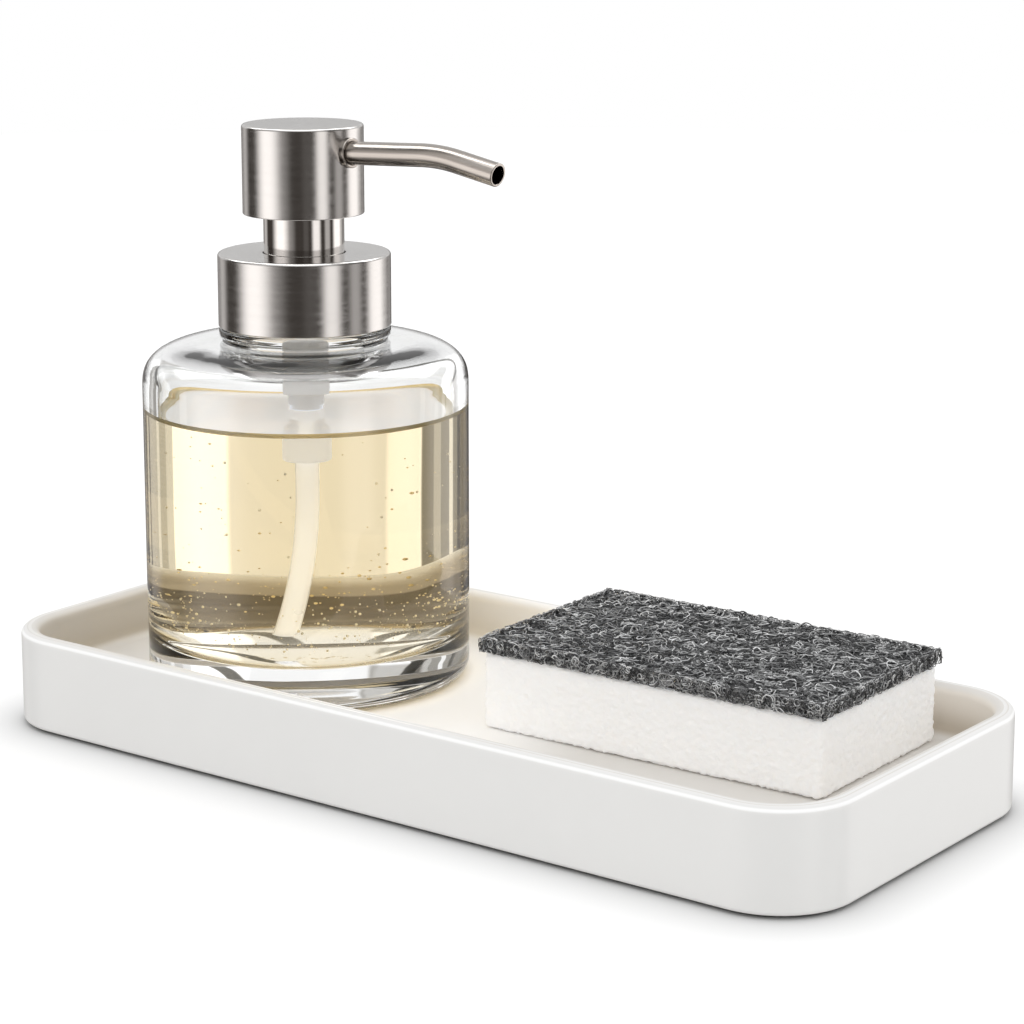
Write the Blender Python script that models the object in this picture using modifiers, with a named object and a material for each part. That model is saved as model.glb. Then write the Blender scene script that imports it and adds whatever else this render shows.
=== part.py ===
"""A countertop organizer tray with the soap pump bottle and the sponge that it holds.

Metres, +Z up. The origin is the middle of the tray's footprint, on the surface that it
stands on. The tray's long side runs along X, and its near side faces -Y. The bottle's axis
is vertical, and the spout points along +X at rest.
"""

import math

import bmesh
import bpy
from mathutils import Matrix, Vector

# Clearances and cutting
GAP = 0.0003  # between two pieces that touch
OVERRUN = 0.002  # how far a cutter runs past the face it opens
WELD = 0.00001

# Tray: the well is as large as what stands in it and the spaces left round that
TRAY_HEIGHT = 0.0266
BOTTLE_END_SPACE = 0.0168  # from the bottle to the well's left wall
BOTTLE_SIDE_SPACE = 0.0078  # from the bottle to the well's front and back walls
MIDDLE_SPACE = 0.02555  # from the bottle to the sponge
SPONGE_END_SPACE = 0.01935  # from the sponge to the well's right wall
SPONGE_BACK_SPACE = 0.00535
TRAY_CORNER_RADIUS = 0.0209
RIM_WIDTH = 0.0053
RIM_OUTER_ROUND = 0.0019
RIM_INNER_ROUND = 0.0025
FLOOR_TOP = 0.0130
FLOOR_THICKNESS = 0.0030
FLOOR_FILLET = 0.0034
SKIRT_THICKNESS = 0.0030
SKIRT_LIFT = 0.0008  # from the table to the wall's lower edge
SKIRT_OUTER_ROUND = 0.0012
SKIRT_INNER_ROUND = 0.0006
UNDERSIDE_FILLET = 0.0020
RIB_THICKNESS = 0.0016
RIB_DEPTH = 0.0020
CROSS_RIB_X_SHARES = (-0.25, 0.0, 0.25)  # of the tray's length

# Feet
FOOT_RADIUS = 0.0056
FOOT_THICKNESS = 0.0026
FOOT_ROUND = 0.0006
FOOT_STUD_RADIUS = 0.0020
FOOT_STUD_LENGTH = 0.0042
FOOT_RECESS_DEPTH = 0.0011
FOOT_BOSS_RADIUS = 0.0080
FOOT_INSET = 0.0170  # from the tray's sides to a foot's middle

# Bottle
BOTTLE_RADIUS = 0.0439
BOTTLE_SHOULDER_HEIGHT = 0.0918
SHOULDER_ROUND = 0.0115
SHOULDER_CROWN = 0.0006  # how much higher the shoulder is at the neck
GLASS_WALL = 0.0038
GLASS_BASE = 0.0104
HEEL_ROUND = 0.0040
BOWL_ROUND = 0.0085
PUNT_RADIUS = 0.0360
PUNT_DEPTH = 0.0008
NECK_ROOT_RADIUS = 0.0219
NECK_BEAD_RADIUS = 0.0231
NECK_BEAD_LIFT = 0.0008
NECK_BEAD_HEIGHT = 0.0028
NECK_BEAD_ROUND = 0.0011
NECK_RADIUS = 0.0192
NECK_BORE_RADIUS = 0.0155
NECK_HEIGHT = 0.0175  # from the shoulder to the lip
LIP_ROUND = 0.0007

# Liquid soap
HEADSPACE = 0.0148  # from the liquid's top to the inner shoulder
MENISCUS = 0.0006

# Collar, liner and gasket
COLLAR_RADIUS = 0.0232
COLLAR_WALL = 0.0009
COLLAR_TOP_ROUND = 0.0009
COLLAR_FOOT_ROUND = 0.0003
LINER_TOP = 0.0016
LINER_SETBACK = 0.0006
GASKET_THICKNESS = 0.0014
GASKET_BORE_RADIUS = 0.0125
CLOSURE_PITCH = 0.0042
CLOSURE_TURNS = 1.0

# Pump housing
FLANGE_SETBACK = 0.0006  # from the glass neck's outer side
FLANGE_THICKNESS = 0.0016
BARREL_RADIUS = 0.00625
BARREL_LENGTH = 0.0336
BARREL_WALL = 0.0014
TAIL_RADIUS = 0.00485
TAIL_LENGTH = 0.0166
BARREL_ROUND = 0.0010
SPRING_LEDGE = 0.0014  # the barrel's floor, which the spring stands on
TAIL_WALL = 0.00145
VALVE_CHAMBER_DEPTH = 0.0058
VALVE_HOLE_RADIUS = 0.0011
CAGE_RADIUS = 0.0019
CAGE_LENGTH = 0.0008
BALL_RADIUS = 0.0022
BALL_TRAVEL = 0.0012

# Dip tube
TUBE_RADIUS = 0.0024
TUBE_BORE_RADIUS = 0.0016
TUBE_SOCKET_DEPTH = 0.0062
TUBE_FLOOR_CLEARANCE = 0.0012
TUBE_SWING = 0.0064
TUBE_STRAIGHT = 0.0080
TUBE_POINTS = 10
TUBE_CURVE_POWER = 2

# Plunger
PUMP_STROKE = 0.0095
STEM_RADIUS = 0.0033
STEM_BORE_RADIUS = 0.0017
STEM_FLANGE_THICKNESS = 0.0010
BORE_CLEARANCE = 0.00055  # from the stem's flanges and the spring to the bore
PISTON_LENGTH = 0.0050
PISTON_LIP = 0.0012
PISTON_WAIST = 0.0004

# Return spring
SPRING_WIRE_RADIUS = 0.0004
SPRING_TURNS = 8
SPRING_TURN_POINTS = 8
SPRING_END_SHARE = 0.4  # how much of the even pitch the first and the last half turn keep

# Lock ring and neck sleeve
LOCK_PLUG_LENGTH = 0.0060
LOCK_FLANGE_THICKNESS = 0.0024
LOCK_TOWER_RADIUS = 0.0062
LOCK_CLEARANCE = 0.0006  # from the lock ring's flange to the sleeve
LOCK_TOWER_SETBACK = 0.0016  # from the tower's top to the sleeve's
SLEEVE_RADIUS = 0.0108
SLEEVE_WALL = 0.0008
SLEEVE_ROUND = 0.0006
SLEEVE_COVER = 0.0011  # how far the head covers the sleeve at rest

# Head
HEAD_RADIUS = 0.01625
HEAD_HEIGHT = 0.0239
HEAD_CLEARANCE = 0.0009  # between the pressed head and the collar
HEAD_WALL = 0.0009
HEAD_TOP_ROUND = 0.0008
HEAD_FOOT_ROUND = 0.0003
INSERT_CLEARANCE = 0.0005  # between the pressed insert and the sleeve
INSERT_WALL = 0.0016
INSERT_BOSS_RADIUS = 0.0060
STEM_SOCKET_DEPTH = 0.0038

# Spout
SPOUT_RADIUS = 0.00308
SPOUT_BORE_RADIUS = 0.00245
SPOUT_DROP = 0.0068  # from the head's top to the spout's root
SPOUT_RISE_ANGLE = math.radians(2.5)
SPOUT_BEND_ANGLE = math.radians(13.5)
SPOUT_BEND_RADIUS = 0.0500
SPOUT_STRAIGHT_REACH = 0.0405
SPOUT_TIP_LENGTH = 0.0133
SPOUT_ROOT_INSET = 0.0080
SPOUT_BEND_POINTS = 6
SPOUT_SIDES_RESOLUTION = 8
SPOUT_RING_WALL = 0.0006
SPOUT_RING_PROUD = 0.0011
SPOUT_BOSS_WALL = 0.0016

# Sponge
SPONGE_LENGTH = 0.0999
SPONGE_WIDTH = 0.0583
FOAM_HEIGHT = 0.0198
PAD_THICKNESS = 0.0040
SPONGE_TURN = math.radians(1.25)
SPONGE_EDGE_ROUND = 0.0012

# Facets
BOTTLE_STEPS = 38
METAL_STEPS = 36
INNER_STEPS = 20
FOOT_STEPS = 16
CORNER_STEPS = 8
EDGE_STEPS = 3

# Places and radii that follow from the sizes above
BOTTLE_SPAN = BOTTLE_END_SPACE + 2 * BOTTLE_RADIUS + MIDDLE_SPACE
SPONGE_SPAN = SPONGE_LENGTH + SPONGE_END_SPACE
WELL_LENGTH = BOTTLE_SPAN + SPONGE_SPAN
WELL_WIDTH = 2 * (BOTTLE_RADIUS + BOTTLE_SIDE_SPACE)
TRAY_LENGTH = WELL_LENGTH + 2 * RIM_WIDTH
TRAY_WIDTH = WELL_WIDTH + 2 * RIM_WIDTH
BOTTLE_X = BOTTLE_END_SPACE + BOTTLE_RADIUS - WELL_LENGTH / 2
SPONGE_X = WELL_LENGTH / 2 - SPONGE_END_SPACE - SPONGE_LENGTH / 2
SPONGE_Y = WELL_WIDTH / 2 - SPONGE_BACK_SPACE - SPONGE_WIDTH / 2
FLANGE_RADIUS = NECK_RADIUS - FLANGE_SETBACK
PISTON_BORE_RADIUS = BARREL_RADIUS - BARREL_WALL
VALVE_BORE_RADIUS = TAIL_RADIUS - TAIL_WALL
STEM_FLANGE_RADIUS = PISTON_BORE_RADIUS - BORE_CLEARANCE
SPRING_RADIUS = STEM_FLANGE_RADIUS - SPRING_WIRE_RADIUS
SLEEVE_BORE_RADIUS = SLEEVE_RADIUS - SLEEVE_WALL

# Heights that follow from the sizes above
FLOOR_UNDERSIDE = FLOOR_TOP - FLOOR_THICKNESS
BOTTLE_Z = FLOOR_TOP + GAP
BOTTLE_FLOOR = BOTTLE_Z + GLASS_BASE
SHOULDER_Z = BOTTLE_Z + BOTTLE_SHOULDER_HEIGHT
LIP_Z = SHOULDER_Z + NECK_HEIGHT
NECK_BEAD_FOOT = SHOULDER_Z + SHOULDER_CROWN + NECK_BEAD_LIFT
NECK_BEAD_TOP = NECK_BEAD_FOOT + NECK_BEAD_HEIGHT
FILL_Z = SHOULDER_Z - GLASS_WALL - HEADSPACE
GASKET_Z = LIP_Z + GAP
FLANGE_Z = GASKET_Z + GASKET_THICKNESS + GAP
FLANGE_TOP = FLANGE_Z + FLANGE_THICKNESS
LINER_CEILING = FLANGE_TOP + GAP
LINER_TOP_Z = LINER_CEILING + LINER_TOP
COLLAR_TOP = LINER_TOP_Z + GAP + COLLAR_WALL
COLLAR_FOOT = NECK_BEAD_TOP + GAP
BARREL_FOOT = FLANGE_Z - BARREL_LENGTH
TAIL_FOOT = BARREL_FOOT - TAIL_LENGTH
TUBE_TOP = TAIL_FOOT + TUBE_SOCKET_DEPTH
SPRING_SEAT = BARREL_FOOT + SPRING_LEDGE
VALVE_CONE_TOP = SPRING_SEAT - VALVE_CHAMBER_DEPTH
VALVE_CONE_FOOT = VALVE_CONE_TOP - (VALVE_BORE_RADIUS - VALVE_HOLE_RADIUS)
BALL_Z = VALVE_CONE_FOOT - VALVE_HOLE_RADIUS + (BALL_RADIUS + GAP) * math.sqrt(2.0)
CAGE_Z = BALL_Z + BALL_TRAVEL + math.sqrt((BALL_RADIUS + GAP) ** 2 - CAGE_RADIUS**2)
LOCK_FOOT = FLANGE_TOP - LOCK_PLUG_LENGTH
STEM_BEAD_TOP = LOCK_FOOT - GAP
STEM_BEAD_FOOT = STEM_BEAD_TOP - STEM_FLANGE_THICKNESS
PISTON_TOP = STEM_BEAD_FOOT - GAP
PISTON_FOOT = PISTON_TOP - PISTON_LENGTH
STEM_FOOT = PISTON_FOOT - GAP - STEM_FLANGE_THICKNESS
HEAD_FOOT = COLLAR_TOP + PUMP_STROKE + HEAD_CLEARANCE
HEAD_TOP = HEAD_FOOT + HEAD_HEIGHT
SLEEVE_FOOT = FLANGE_TOP + GAP
SLEEVE_TOP = HEAD_FOOT + SLEEVE_COVER
LOCK_FLANGE_TOP = FLANGE_TOP + GAP + LOCK_FLANGE_THICKNESS
LOCK_TOWER_TOP = SLEEVE_TOP - LOCK_TOWER_SETBACK - SLEEVE_WALL
INSERT_FOOT = SLEEVE_TOP + PUMP_STROKE + INSERT_CLEARANCE
INSERT_TOP = HEAD_TOP - HEAD_WALL - GAP
STEM_TOP = INSERT_FOOT + STEM_SOCKET_DEPTH - GAP
SPOUT_AXIS_Z = HEAD_TOP - SPOUT_DROP
CLOSURE_RISE = CLOSURE_PITCH * CLOSURE_TURNS
FOAM_Z = FLOOR_TOP + GAP
PAD_Z = FOAM_Z + FOAM_HEIGHT + GAP


def clear_scene():
    for obj in list(bpy.data.objects):
        bpy.data.objects.remove(obj, do_unlink=True)
    for collection in list(bpy.data.collections):
        bpy.data.collections.remove(collection)


def new_collection(name):
    collection = bpy.data.collections.new(name)
    bpy.context.scene.collection.children.link(collection)
    return collection


def finish(name, color, roughness, metallic=0.0, transmission=0.0, ior=1.5):
    """A Principled material with the piece's own colour."""
    material = bpy.data.materials.new(name + "_finish")
    material.use_nodes = True
    shader = material.node_tree.nodes["Principled BSDF"]
    shader.inputs["Base Color"].default_value = (*color, 1)
    shader.inputs["Roughness"].default_value = roughness
    shader.inputs["Metallic"].default_value = metallic
    shader.inputs["Transmission Weight"].default_value = transmission
    shader.inputs["IOR"].default_value = ior
    material.diffuse_color = (*color, 1)
    return material


def add_object(name, data, parent=None, material=None, collection=None):
    obj = bpy.data.objects.new(name, data)
    (collection or PARTS).objects.link(obj)
    obj.parent = parent
    if material:
        data.materials.append(material)
    return obj


def axis_empty(name, location, parent=None, turn=(0, 0, 0)):
    """An empty on a joint's axis, which carries the pieces that move with it."""
    empty = bpy.data.objects.new(name, None)
    PARTS.objects.link(empty)
    empty.parent = parent
    empty.location = location
    empty.rotation_euler = turn
    return empty


def fillet(before, corner, after, radius, steps):
    """The points of an arc of this radius, tangent to both sides of a corner."""
    to_before = (before - corner).normalized()
    to_after = (after - corner).normalized()
    half_angle = to_before.angle(to_after) / 2
    back_off = radius / math.tan(half_angle)
    centre = corner + (to_before + to_after).normalized() * (radius / math.sin(half_angle))
    first = corner + to_before * back_off - centre
    last = corner + to_after * back_off - centre
    sweep = first.angle_signed(last)
    arc = []
    for step in range(steps + 1):
        turn = Matrix.Rotation(-sweep * step / steps, 2)
        arc.append(centre + turn @ first)
    return arc


def rounded(corners, closed=False):
    """An outline from corners (across, up) or (across, up, radius[, steps])."""
    points = [Vector(corner[:2]) for corner in corners]
    outline = []
    for index, corner in enumerate(corners):
        at_end = not closed and index in (0, len(corners) - 1)
        if len(corner) == 2 or at_end:
            outline.append(points[index])
            continue
        steps = corner[3] if len(corner) > 3 else EDGE_STEPS
        before = points[index - 1]
        after = points[(index + 1) % len(points)]
        outline += fillet(before, points[index], after, corner[2], steps)
    return outline


def outline_mesh(name, outline, closed):
    mesh = bpy.data.meshes.new(name)
    count = len(outline)
    edges = [(i, (i + 1) % count) for i in range(count if closed else count - 1)]
    mesh.from_pydata([(x, 0, z) for x, z in outline], edges, [])
    return mesh


def turned(name, corners, material, parent=None, steps=INNER_STEPS, closed=True, collection=None):
    """A turned piece. Its outline runs down the outer side, and is closed unless it ends on the axis."""
    mesh = outline_mesh(name, rounded(corners, closed), closed)
    obj = add_object(name, mesh, parent, material, collection)
    screw = obj.modifiers.new("turn", "SCREW")
    screw.axis = "Z"
    screw.angle = math.tau
    screw.steps = steps
    screw.render_steps = steps
    screw.use_merge_vertices = True
    screw.merge_threshold = WELD
    screw.use_smooth_shade = True
    return obj


def rounded_rectangle(half_length, half_width, radius, z):
    """The points of a rectangle with round corners, anticlockwise from above."""
    points = []
    for index, (side_x, side_y) in enumerate(((1, 1), (-1, 1), (-1, -1), (1, -1))):
        centre = Vector((side_x * (half_length - radius), side_y * (half_width - radius), z))
        for step in range(CORNER_STEPS + 1):
            angle = math.pi / 2 * (index + step / CORNER_STEPS)
            points.append(centre + Vector((math.cos(angle) * radius, math.sin(angle) * radius, 0)))
    return points


def lofted(name, section, half_length, half_width, corner_radius, material):
    """A body whose section (inset, z) runs round a rectangle with round corners."""
    shape = bmesh.new()
    rings = []
    for inset, z in section:
        places = rounded_rectangle(
            half_length - inset, half_width - inset, corner_radius - inset, z
        )
        rings.append([shape.verts.new(place) for place in places])
    for lower, upper in zip(rings, rings[1:]):
        for index in range(len(lower)):
            ahead = (index + 1) % len(lower)
            shape.faces.new((lower[index], lower[ahead], upper[ahead], upper[index]))
    shape.faces.new(rings[0][::-1])
    shape.faces.new(rings[-1])
    bmesh.ops.recalc_face_normals(shape, faces=shape.faces)
    mesh = bpy.data.meshes.new(name)
    shape.to_mesh(mesh)
    shape.free()
    return add_object(name, mesh, None, material)


def bored(name, radius, length, place, collection, material=None, parent=None, steps=INNER_STEPS):
    """A plain cylinder. Its foot lies at place, and it runs up Z of that frame."""
    shape = bmesh.new()
    bmesh.ops.create_cone(
        shape,
        cap_ends=True,
        segments=steps,
        radius1=radius,
        radius2=radius,
        depth=length,
        matrix=place @ Matrix.Translation((0, 0, length / 2)),
    )
    mesh = bpy.data.meshes.new(name)
    shape.to_mesh(mesh)
    shape.free()
    return add_object(name, mesh, parent, material, collection)


def block(name, size, centre, collection, parent=None, material=None):
    shape = bmesh.new()
    bmesh.ops.create_cube(
        shape, size=1, matrix=Matrix.Translation(centre) @ Matrix.Diagonal((*size, 1))
    )
    mesh = bpy.data.meshes.new(name)
    shape.to_mesh(mesh)
    shape.free()
    return add_object(name, mesh, parent, material, collection)


def as_cutter(obj):
    obj.hide_render = True
    obj.display_type = "WIRE"
    return obj


def combine(obj, other, operation):
    boolean = obj.modifiers.new(other.name, "BOOLEAN")
    boolean.operation = operation
    boolean.object = as_cutter(other)
    boolean.solver = "EXACT"


def along(points, name, radius, resolution, parent, collection, material=None):
    """A round bar along the points, made as a curve and turned into a closed mesh."""
    curve = bpy.data.curves.new(name, "CURVE")
    curve.dimensions = "3D"
    curve.bevel_depth = radius
    curve.bevel_resolution = resolution
    curve.use_fill_caps = True
    spline = curve.splines.new("POLY")
    spline.points.add(len(points) - 1)
    for target, point in zip(spline.points, points):
        target.co = (*point, 1)
    guide = add_object(name + "_guide", curve, parent, None, collection)
    bpy.context.view_layer.update()
    graph = bpy.context.evaluated_depsgraph_get()
    mesh = bpy.data.meshes.new_from_object(guide.evaluated_get(graph))
    mesh.name = name
    shape = bmesh.new()
    shape.from_mesh(mesh)
    bmesh.ops.remove_doubles(shape, verts=shape.verts, dist=WELD)
    bmesh.ops.recalc_face_normals(shape, faces=shape.faces)
    shape.to_mesh(mesh)
    shape.free()
    place = guide.matrix_world.copy()
    bpy.data.objects.remove(guide, do_unlink=True)
    obj = add_object(name, mesh, parent, material, collection)
    obj.matrix_world = place
    mesh.shade_smooth()
    return obj


def foot_places():
    """Each foot's name and its middle, under the tray's four corners."""
    x = TRAY_LENGTH / 2 - FOOT_INSET
    y = TRAY_WIDTH / 2 - FOOT_INSET
    for row, side_y in (("front", -1), ("back", 1)):
        for end, side_x in (("left", -1), ("right", 1)):
            yield f"foot_{row}_{end}", Vector((side_x * x, side_y * y, 0))


def make_tray():
    """The moulding: skirt, full rim, raised floor, and ribs and foot bosses below it."""
    middle = SKIRT_THICKNESS + UNDERSIDE_FILLET + RIM_WIDTH
    section = rounded(
        [
            (middle, FLOOR_UNDERSIDE),
            (SKIRT_THICKNESS, FLOOR_UNDERSIDE, UNDERSIDE_FILLET, 2),
            (SKIRT_THICKNESS, SKIRT_LIFT, SKIRT_INNER_ROUND, 1),
            (0, SKIRT_LIFT, SKIRT_OUTER_ROUND, 2),
            (0, TRAY_HEIGHT, RIM_OUTER_ROUND),
            (RIM_WIDTH, TRAY_HEIGHT, RIM_INNER_ROUND),
            (RIM_WIDTH, FLOOR_TOP, FLOOR_FILLET),
            (middle, FLOOR_TOP),
        ]
    )
    white = finish("tray_shell", (0.86, 0.85, 0.83), 0.38)
    tray = lofted(
        "tray_shell", section, TRAY_LENGTH / 2, TRAY_WIDTH / 2, TRAY_CORNER_RADIUS, white
    )
    root = FLOOR_UNDERSIDE + FLOOR_THICKNESS / 2
    rib_height = RIB_DEPTH + FLOOR_THICKNESS / 2
    rib_z = root - rib_height / 2
    inner_length = TRAY_LENGTH - SKIRT_THICKNESS
    inner_width = TRAY_WIDTH - SKIRT_THICKNESS
    long_rib = block(
        "long_rib", (inner_length, RIB_THICKNESS, rib_height), (0, 0, rib_z), CUTTERS
    )
    combine(tray, long_rib, "UNION")
    for number, share in enumerate(CROSS_RIB_X_SHARES):
        rib = block(
            f"cross_rib_{number}",
            (RIB_THICKNESS, inner_width, rib_height),
            (share * TRAY_LENGTH, 0, rib_z),
            CUTTERS,
        )
        combine(tray, rib, "UNION")
    boss_foot = FOOT_THICKNESS - FOOT_RECESS_DEPTH
    for name, middle in foot_places():
        boss = bored(
            name + "_boss",
            FOOT_BOSS_RADIUS,
            root - boss_foot,
            Matrix.Translation(middle + Vector((0, 0, boss_foot))),
            CUTTERS,
        )
        combine(tray, boss, "UNION")
    for name, middle in foot_places():
        recess = turned(
            name + "_recess",
            [
                (0, FOOT_THICKNESS + FOOT_STUD_LENGTH + GAP),
                (FOOT_STUD_RADIUS + GAP, FOOT_THICKNESS + FOOT_STUD_LENGTH + GAP),
                (FOOT_STUD_RADIUS + GAP, FOOT_THICKNESS + GAP),
                (FOOT_RADIUS + GAP, FOOT_THICKNESS + GAP),
                (FOOT_RADIUS + GAP, boss_foot - OVERRUN),
                (0, boss_foot - OVERRUN),
            ],
            None,
            steps=FOOT_STEPS,
            closed=False,
            collection=CUTTERS,
        )
        recess.location = middle
        combine(tray, recess, "DIFFERENCE")
    return tray


def make_feet():
    for name, middle in foot_places():
        foot = turned(
            name,
            [
                (0, FOOT_THICKNESS + FOOT_STUD_LENGTH),
                (FOOT_STUD_RADIUS, FOOT_THICKNESS + FOOT_STUD_LENGTH),
                (FOOT_STUD_RADIUS, FOOT_THICKNESS),
                (FOOT_RADIUS, FOOT_THICKNESS),
                (FOOT_RADIUS, 0, FOOT_ROUND, 2),
                (0, 0),
            ],
            finish(name, (0.62, 0.62, 0.60), 0.75),
            steps=FOOT_STEPS,
            closed=False,
        )
        foot.location = middle


def make_bottle(dispenser):
    """Clear glass: thick base, straight wall, round shoulder, bead and neck finish."""
    inner_radius = BOTTLE_RADIUS - GLASS_WALL
    inner_shoulder = SHOULDER_Z - GLASS_WALL
    inner_round = SHOULDER_ROUND - GLASS_WALL
    turned(
        "bottle_glass",
        [
            (0, BOTTLE_FLOOR),
            (inner_radius, BOTTLE_FLOOR, BOWL_ROUND, 4),
            (inner_radius, inner_shoulder, inner_round, 4),
            (NECK_BORE_RADIUS, inner_shoulder + SHOULDER_CROWN, GLASS_WALL / 2, 2),
            (NECK_BORE_RADIUS, LIP_Z, LIP_ROUND, 1),
            (NECK_RADIUS, LIP_Z, LIP_ROUND, 1),
            (NECK_RADIUS, NECK_BEAD_TOP),
            (NECK_BEAD_RADIUS, NECK_BEAD_TOP, NECK_BEAD_ROUND, 2),
            (NECK_BEAD_RADIUS, NECK_BEAD_FOOT, NECK_BEAD_ROUND, 2),
            (NECK_ROOT_RADIUS, NECK_BEAD_FOOT),
            (NECK_ROOT_RADIUS, SHOULDER_Z + SHOULDER_CROWN, NECK_BEAD_LIFT, 1),
            (BOTTLE_RADIUS, SHOULDER_Z, SHOULDER_ROUND, 6),
            (BOTTLE_RADIUS, BOTTLE_Z, HEEL_ROUND, 3),
            (PUNT_RADIUS, BOTTLE_Z),
            (PUNT_RADIUS - HEEL_ROUND, BOTTLE_Z + PUNT_DEPTH),
            (0, BOTTLE_Z + PUNT_DEPTH),
        ],
        finish("bottle_glass", (0.96, 0.97, 0.97), 0.02, transmission=1.0, ior=1.5),
        dispenser,
        steps=BOTTLE_STEPS,
        closed=False,
    )


def tube_route(foot_z):
    """The dip tube's axis: straight out of its socket, then swinging to one side."""
    bend_top = TAIL_FOOT - TUBE_STRAIGHT
    points = [Vector((0, 0, TUBE_TOP - GAP))]
    for step in range(TUBE_POINTS + 1):
        share = step / TUBE_POINTS
        swing = -TUBE_SWING * share**TUBE_CURVE_POWER
        points.append(Vector((swing, 0, bend_top + (foot_z - bend_top) * share)))
    return points


def make_liquid(dispenser):
    """The filling. Its channel leaves room for the tube to rise as the collar unscrews."""
    radius = BOTTLE_RADIUS - GLASS_WALL - GAP
    foot = BOTTLE_FLOOR + GAP
    liquid = turned(
        "liquid_soap",
        [
            (0, FILL_Z),
            (radius - MENISCUS, FILL_Z),
            (radius, FILL_Z + MENISCUS),
            (radius, foot, BOWL_ROUND - GAP, 4),
            (0, foot),
        ],
        finish("liquid_soap", (0.93, 0.83, 0.50), 0.05, transmission=0.9, ior=1.36),
        dispenser,
        steps=BOTTLE_STEPS,
        closed=False,
    )
    tube_foot = BOTTLE_FLOOR + TUBE_FLOOR_CLEARANCE
    bend_length = TAIL_FOOT - TUBE_STRAIGHT - tube_foot
    lean = math.atan(TUBE_CURVE_POWER * TUBE_SWING / bend_length)
    channel_radius = TUBE_RADIUS + GAP + CLOSURE_RISE * math.sin(lean)
    channel = along(
        tube_route(tube_foot - GAP), "liquid_channel", channel_radius, 2, dispenser, CUTTERS
    )
    combine(liquid, channel, "DIFFERENCE")
    well = turned(
        "housing_well",
        [
            (0, LIP_Z),
            (BARREL_RADIUS + GAP, LIP_Z),
            (BARREL_RADIUS + GAP, BARREL_FOOT - GAP),
            (TAIL_RADIUS + GAP, BARREL_FOOT - GAP),
            (TAIL_RADIUS + GAP, TAIL_FOOT - GAP),
            (0, TAIL_FOOT - GAP),
        ],
        None,
        dispenser,
        closed=False,
        collection=CUTTERS,
    )
    combine(liquid, well, "DIFFERENCE")


def make_closure(closure):
    """The steel collar cup and the plastic cap in it, which grips the glass neck."""
    hole = SLEEVE_RADIUS + GAP
    turned(
        "collar_shell",
        [
            (COLLAR_RADIUS, COLLAR_TOP, COLLAR_TOP_ROUND),
            (COLLAR_RADIUS, COLLAR_FOOT, COLLAR_FOOT_ROUND, 1),
            (COLLAR_RADIUS - COLLAR_WALL, COLLAR_FOOT),
            (COLLAR_RADIUS - COLLAR_WALL, COLLAR_TOP - COLLAR_WALL),
            (hole, COLLAR_TOP - COLLAR_WALL),
            (hole, COLLAR_TOP, COLLAR_WALL / 3, 1),
        ],
        finish("collar_shell", (0.62, 0.59, 0.56), 0.24, 1.0),
        closure,
        METAL_STEPS,
    )
    liner_radius = COLLAR_RADIUS - COLLAR_WALL - GAP
    turned(
        "closure_liner",
        [
            (liner_radius, LINER_TOP_Z),
            (liner_radius, COLLAR_FOOT + LINER_SETBACK),
            (NECK_RADIUS + GAP, COLLAR_FOOT + LINER_SETBACK),
            (NECK_RADIUS + GAP, LINER_CEILING),
            (hole, LINER_CEILING),
            (hole, LINER_TOP_Z),
        ],
        finish("closure_liner", (0.80, 0.80, 0.79), 0.45),
        closure,
        METAL_STEPS,
    )


def make_housing(pump):
    """The pump body: clamped flange, piston barrel, valve chamber and tube socket."""
    turned(
        "pump_housing",
        [
            (FLANGE_RADIUS, FLANGE_TOP),
            (FLANGE_RADIUS, FLANGE_Z),
            (BARREL_RADIUS, FLANGE_Z),
            (BARREL_RADIUS, BARREL_FOOT, BARREL_ROUND, 2),
            (TAIL_RADIUS, BARREL_FOOT),
            (TAIL_RADIUS, TAIL_FOOT, BARREL_ROUND, 2),
            (TUBE_RADIUS + GAP, TAIL_FOOT),
            (TUBE_RADIUS + GAP, TUBE_TOP),
            (VALVE_HOLE_RADIUS, TUBE_TOP),
            (VALVE_HOLE_RADIUS, VALVE_CONE_FOOT),
            (VALVE_BORE_RADIUS, VALVE_CONE_TOP),
            (VALVE_BORE_RADIUS, CAGE_Z - CAGE_LENGTH / 2),
            (CAGE_RADIUS, CAGE_Z),
            (VALVE_BORE_RADIUS, CAGE_Z + CAGE_LENGTH / 2),
            (VALVE_BORE_RADIUS, SPRING_SEAT),
            (PISTON_BORE_RADIUS, SPRING_SEAT),
            (PISTON_BORE_RADIUS, FLANGE_TOP),
        ],
        finish("pump_housing", (0.88, 0.89, 0.90), 0.35),
        pump,
    )


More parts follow.
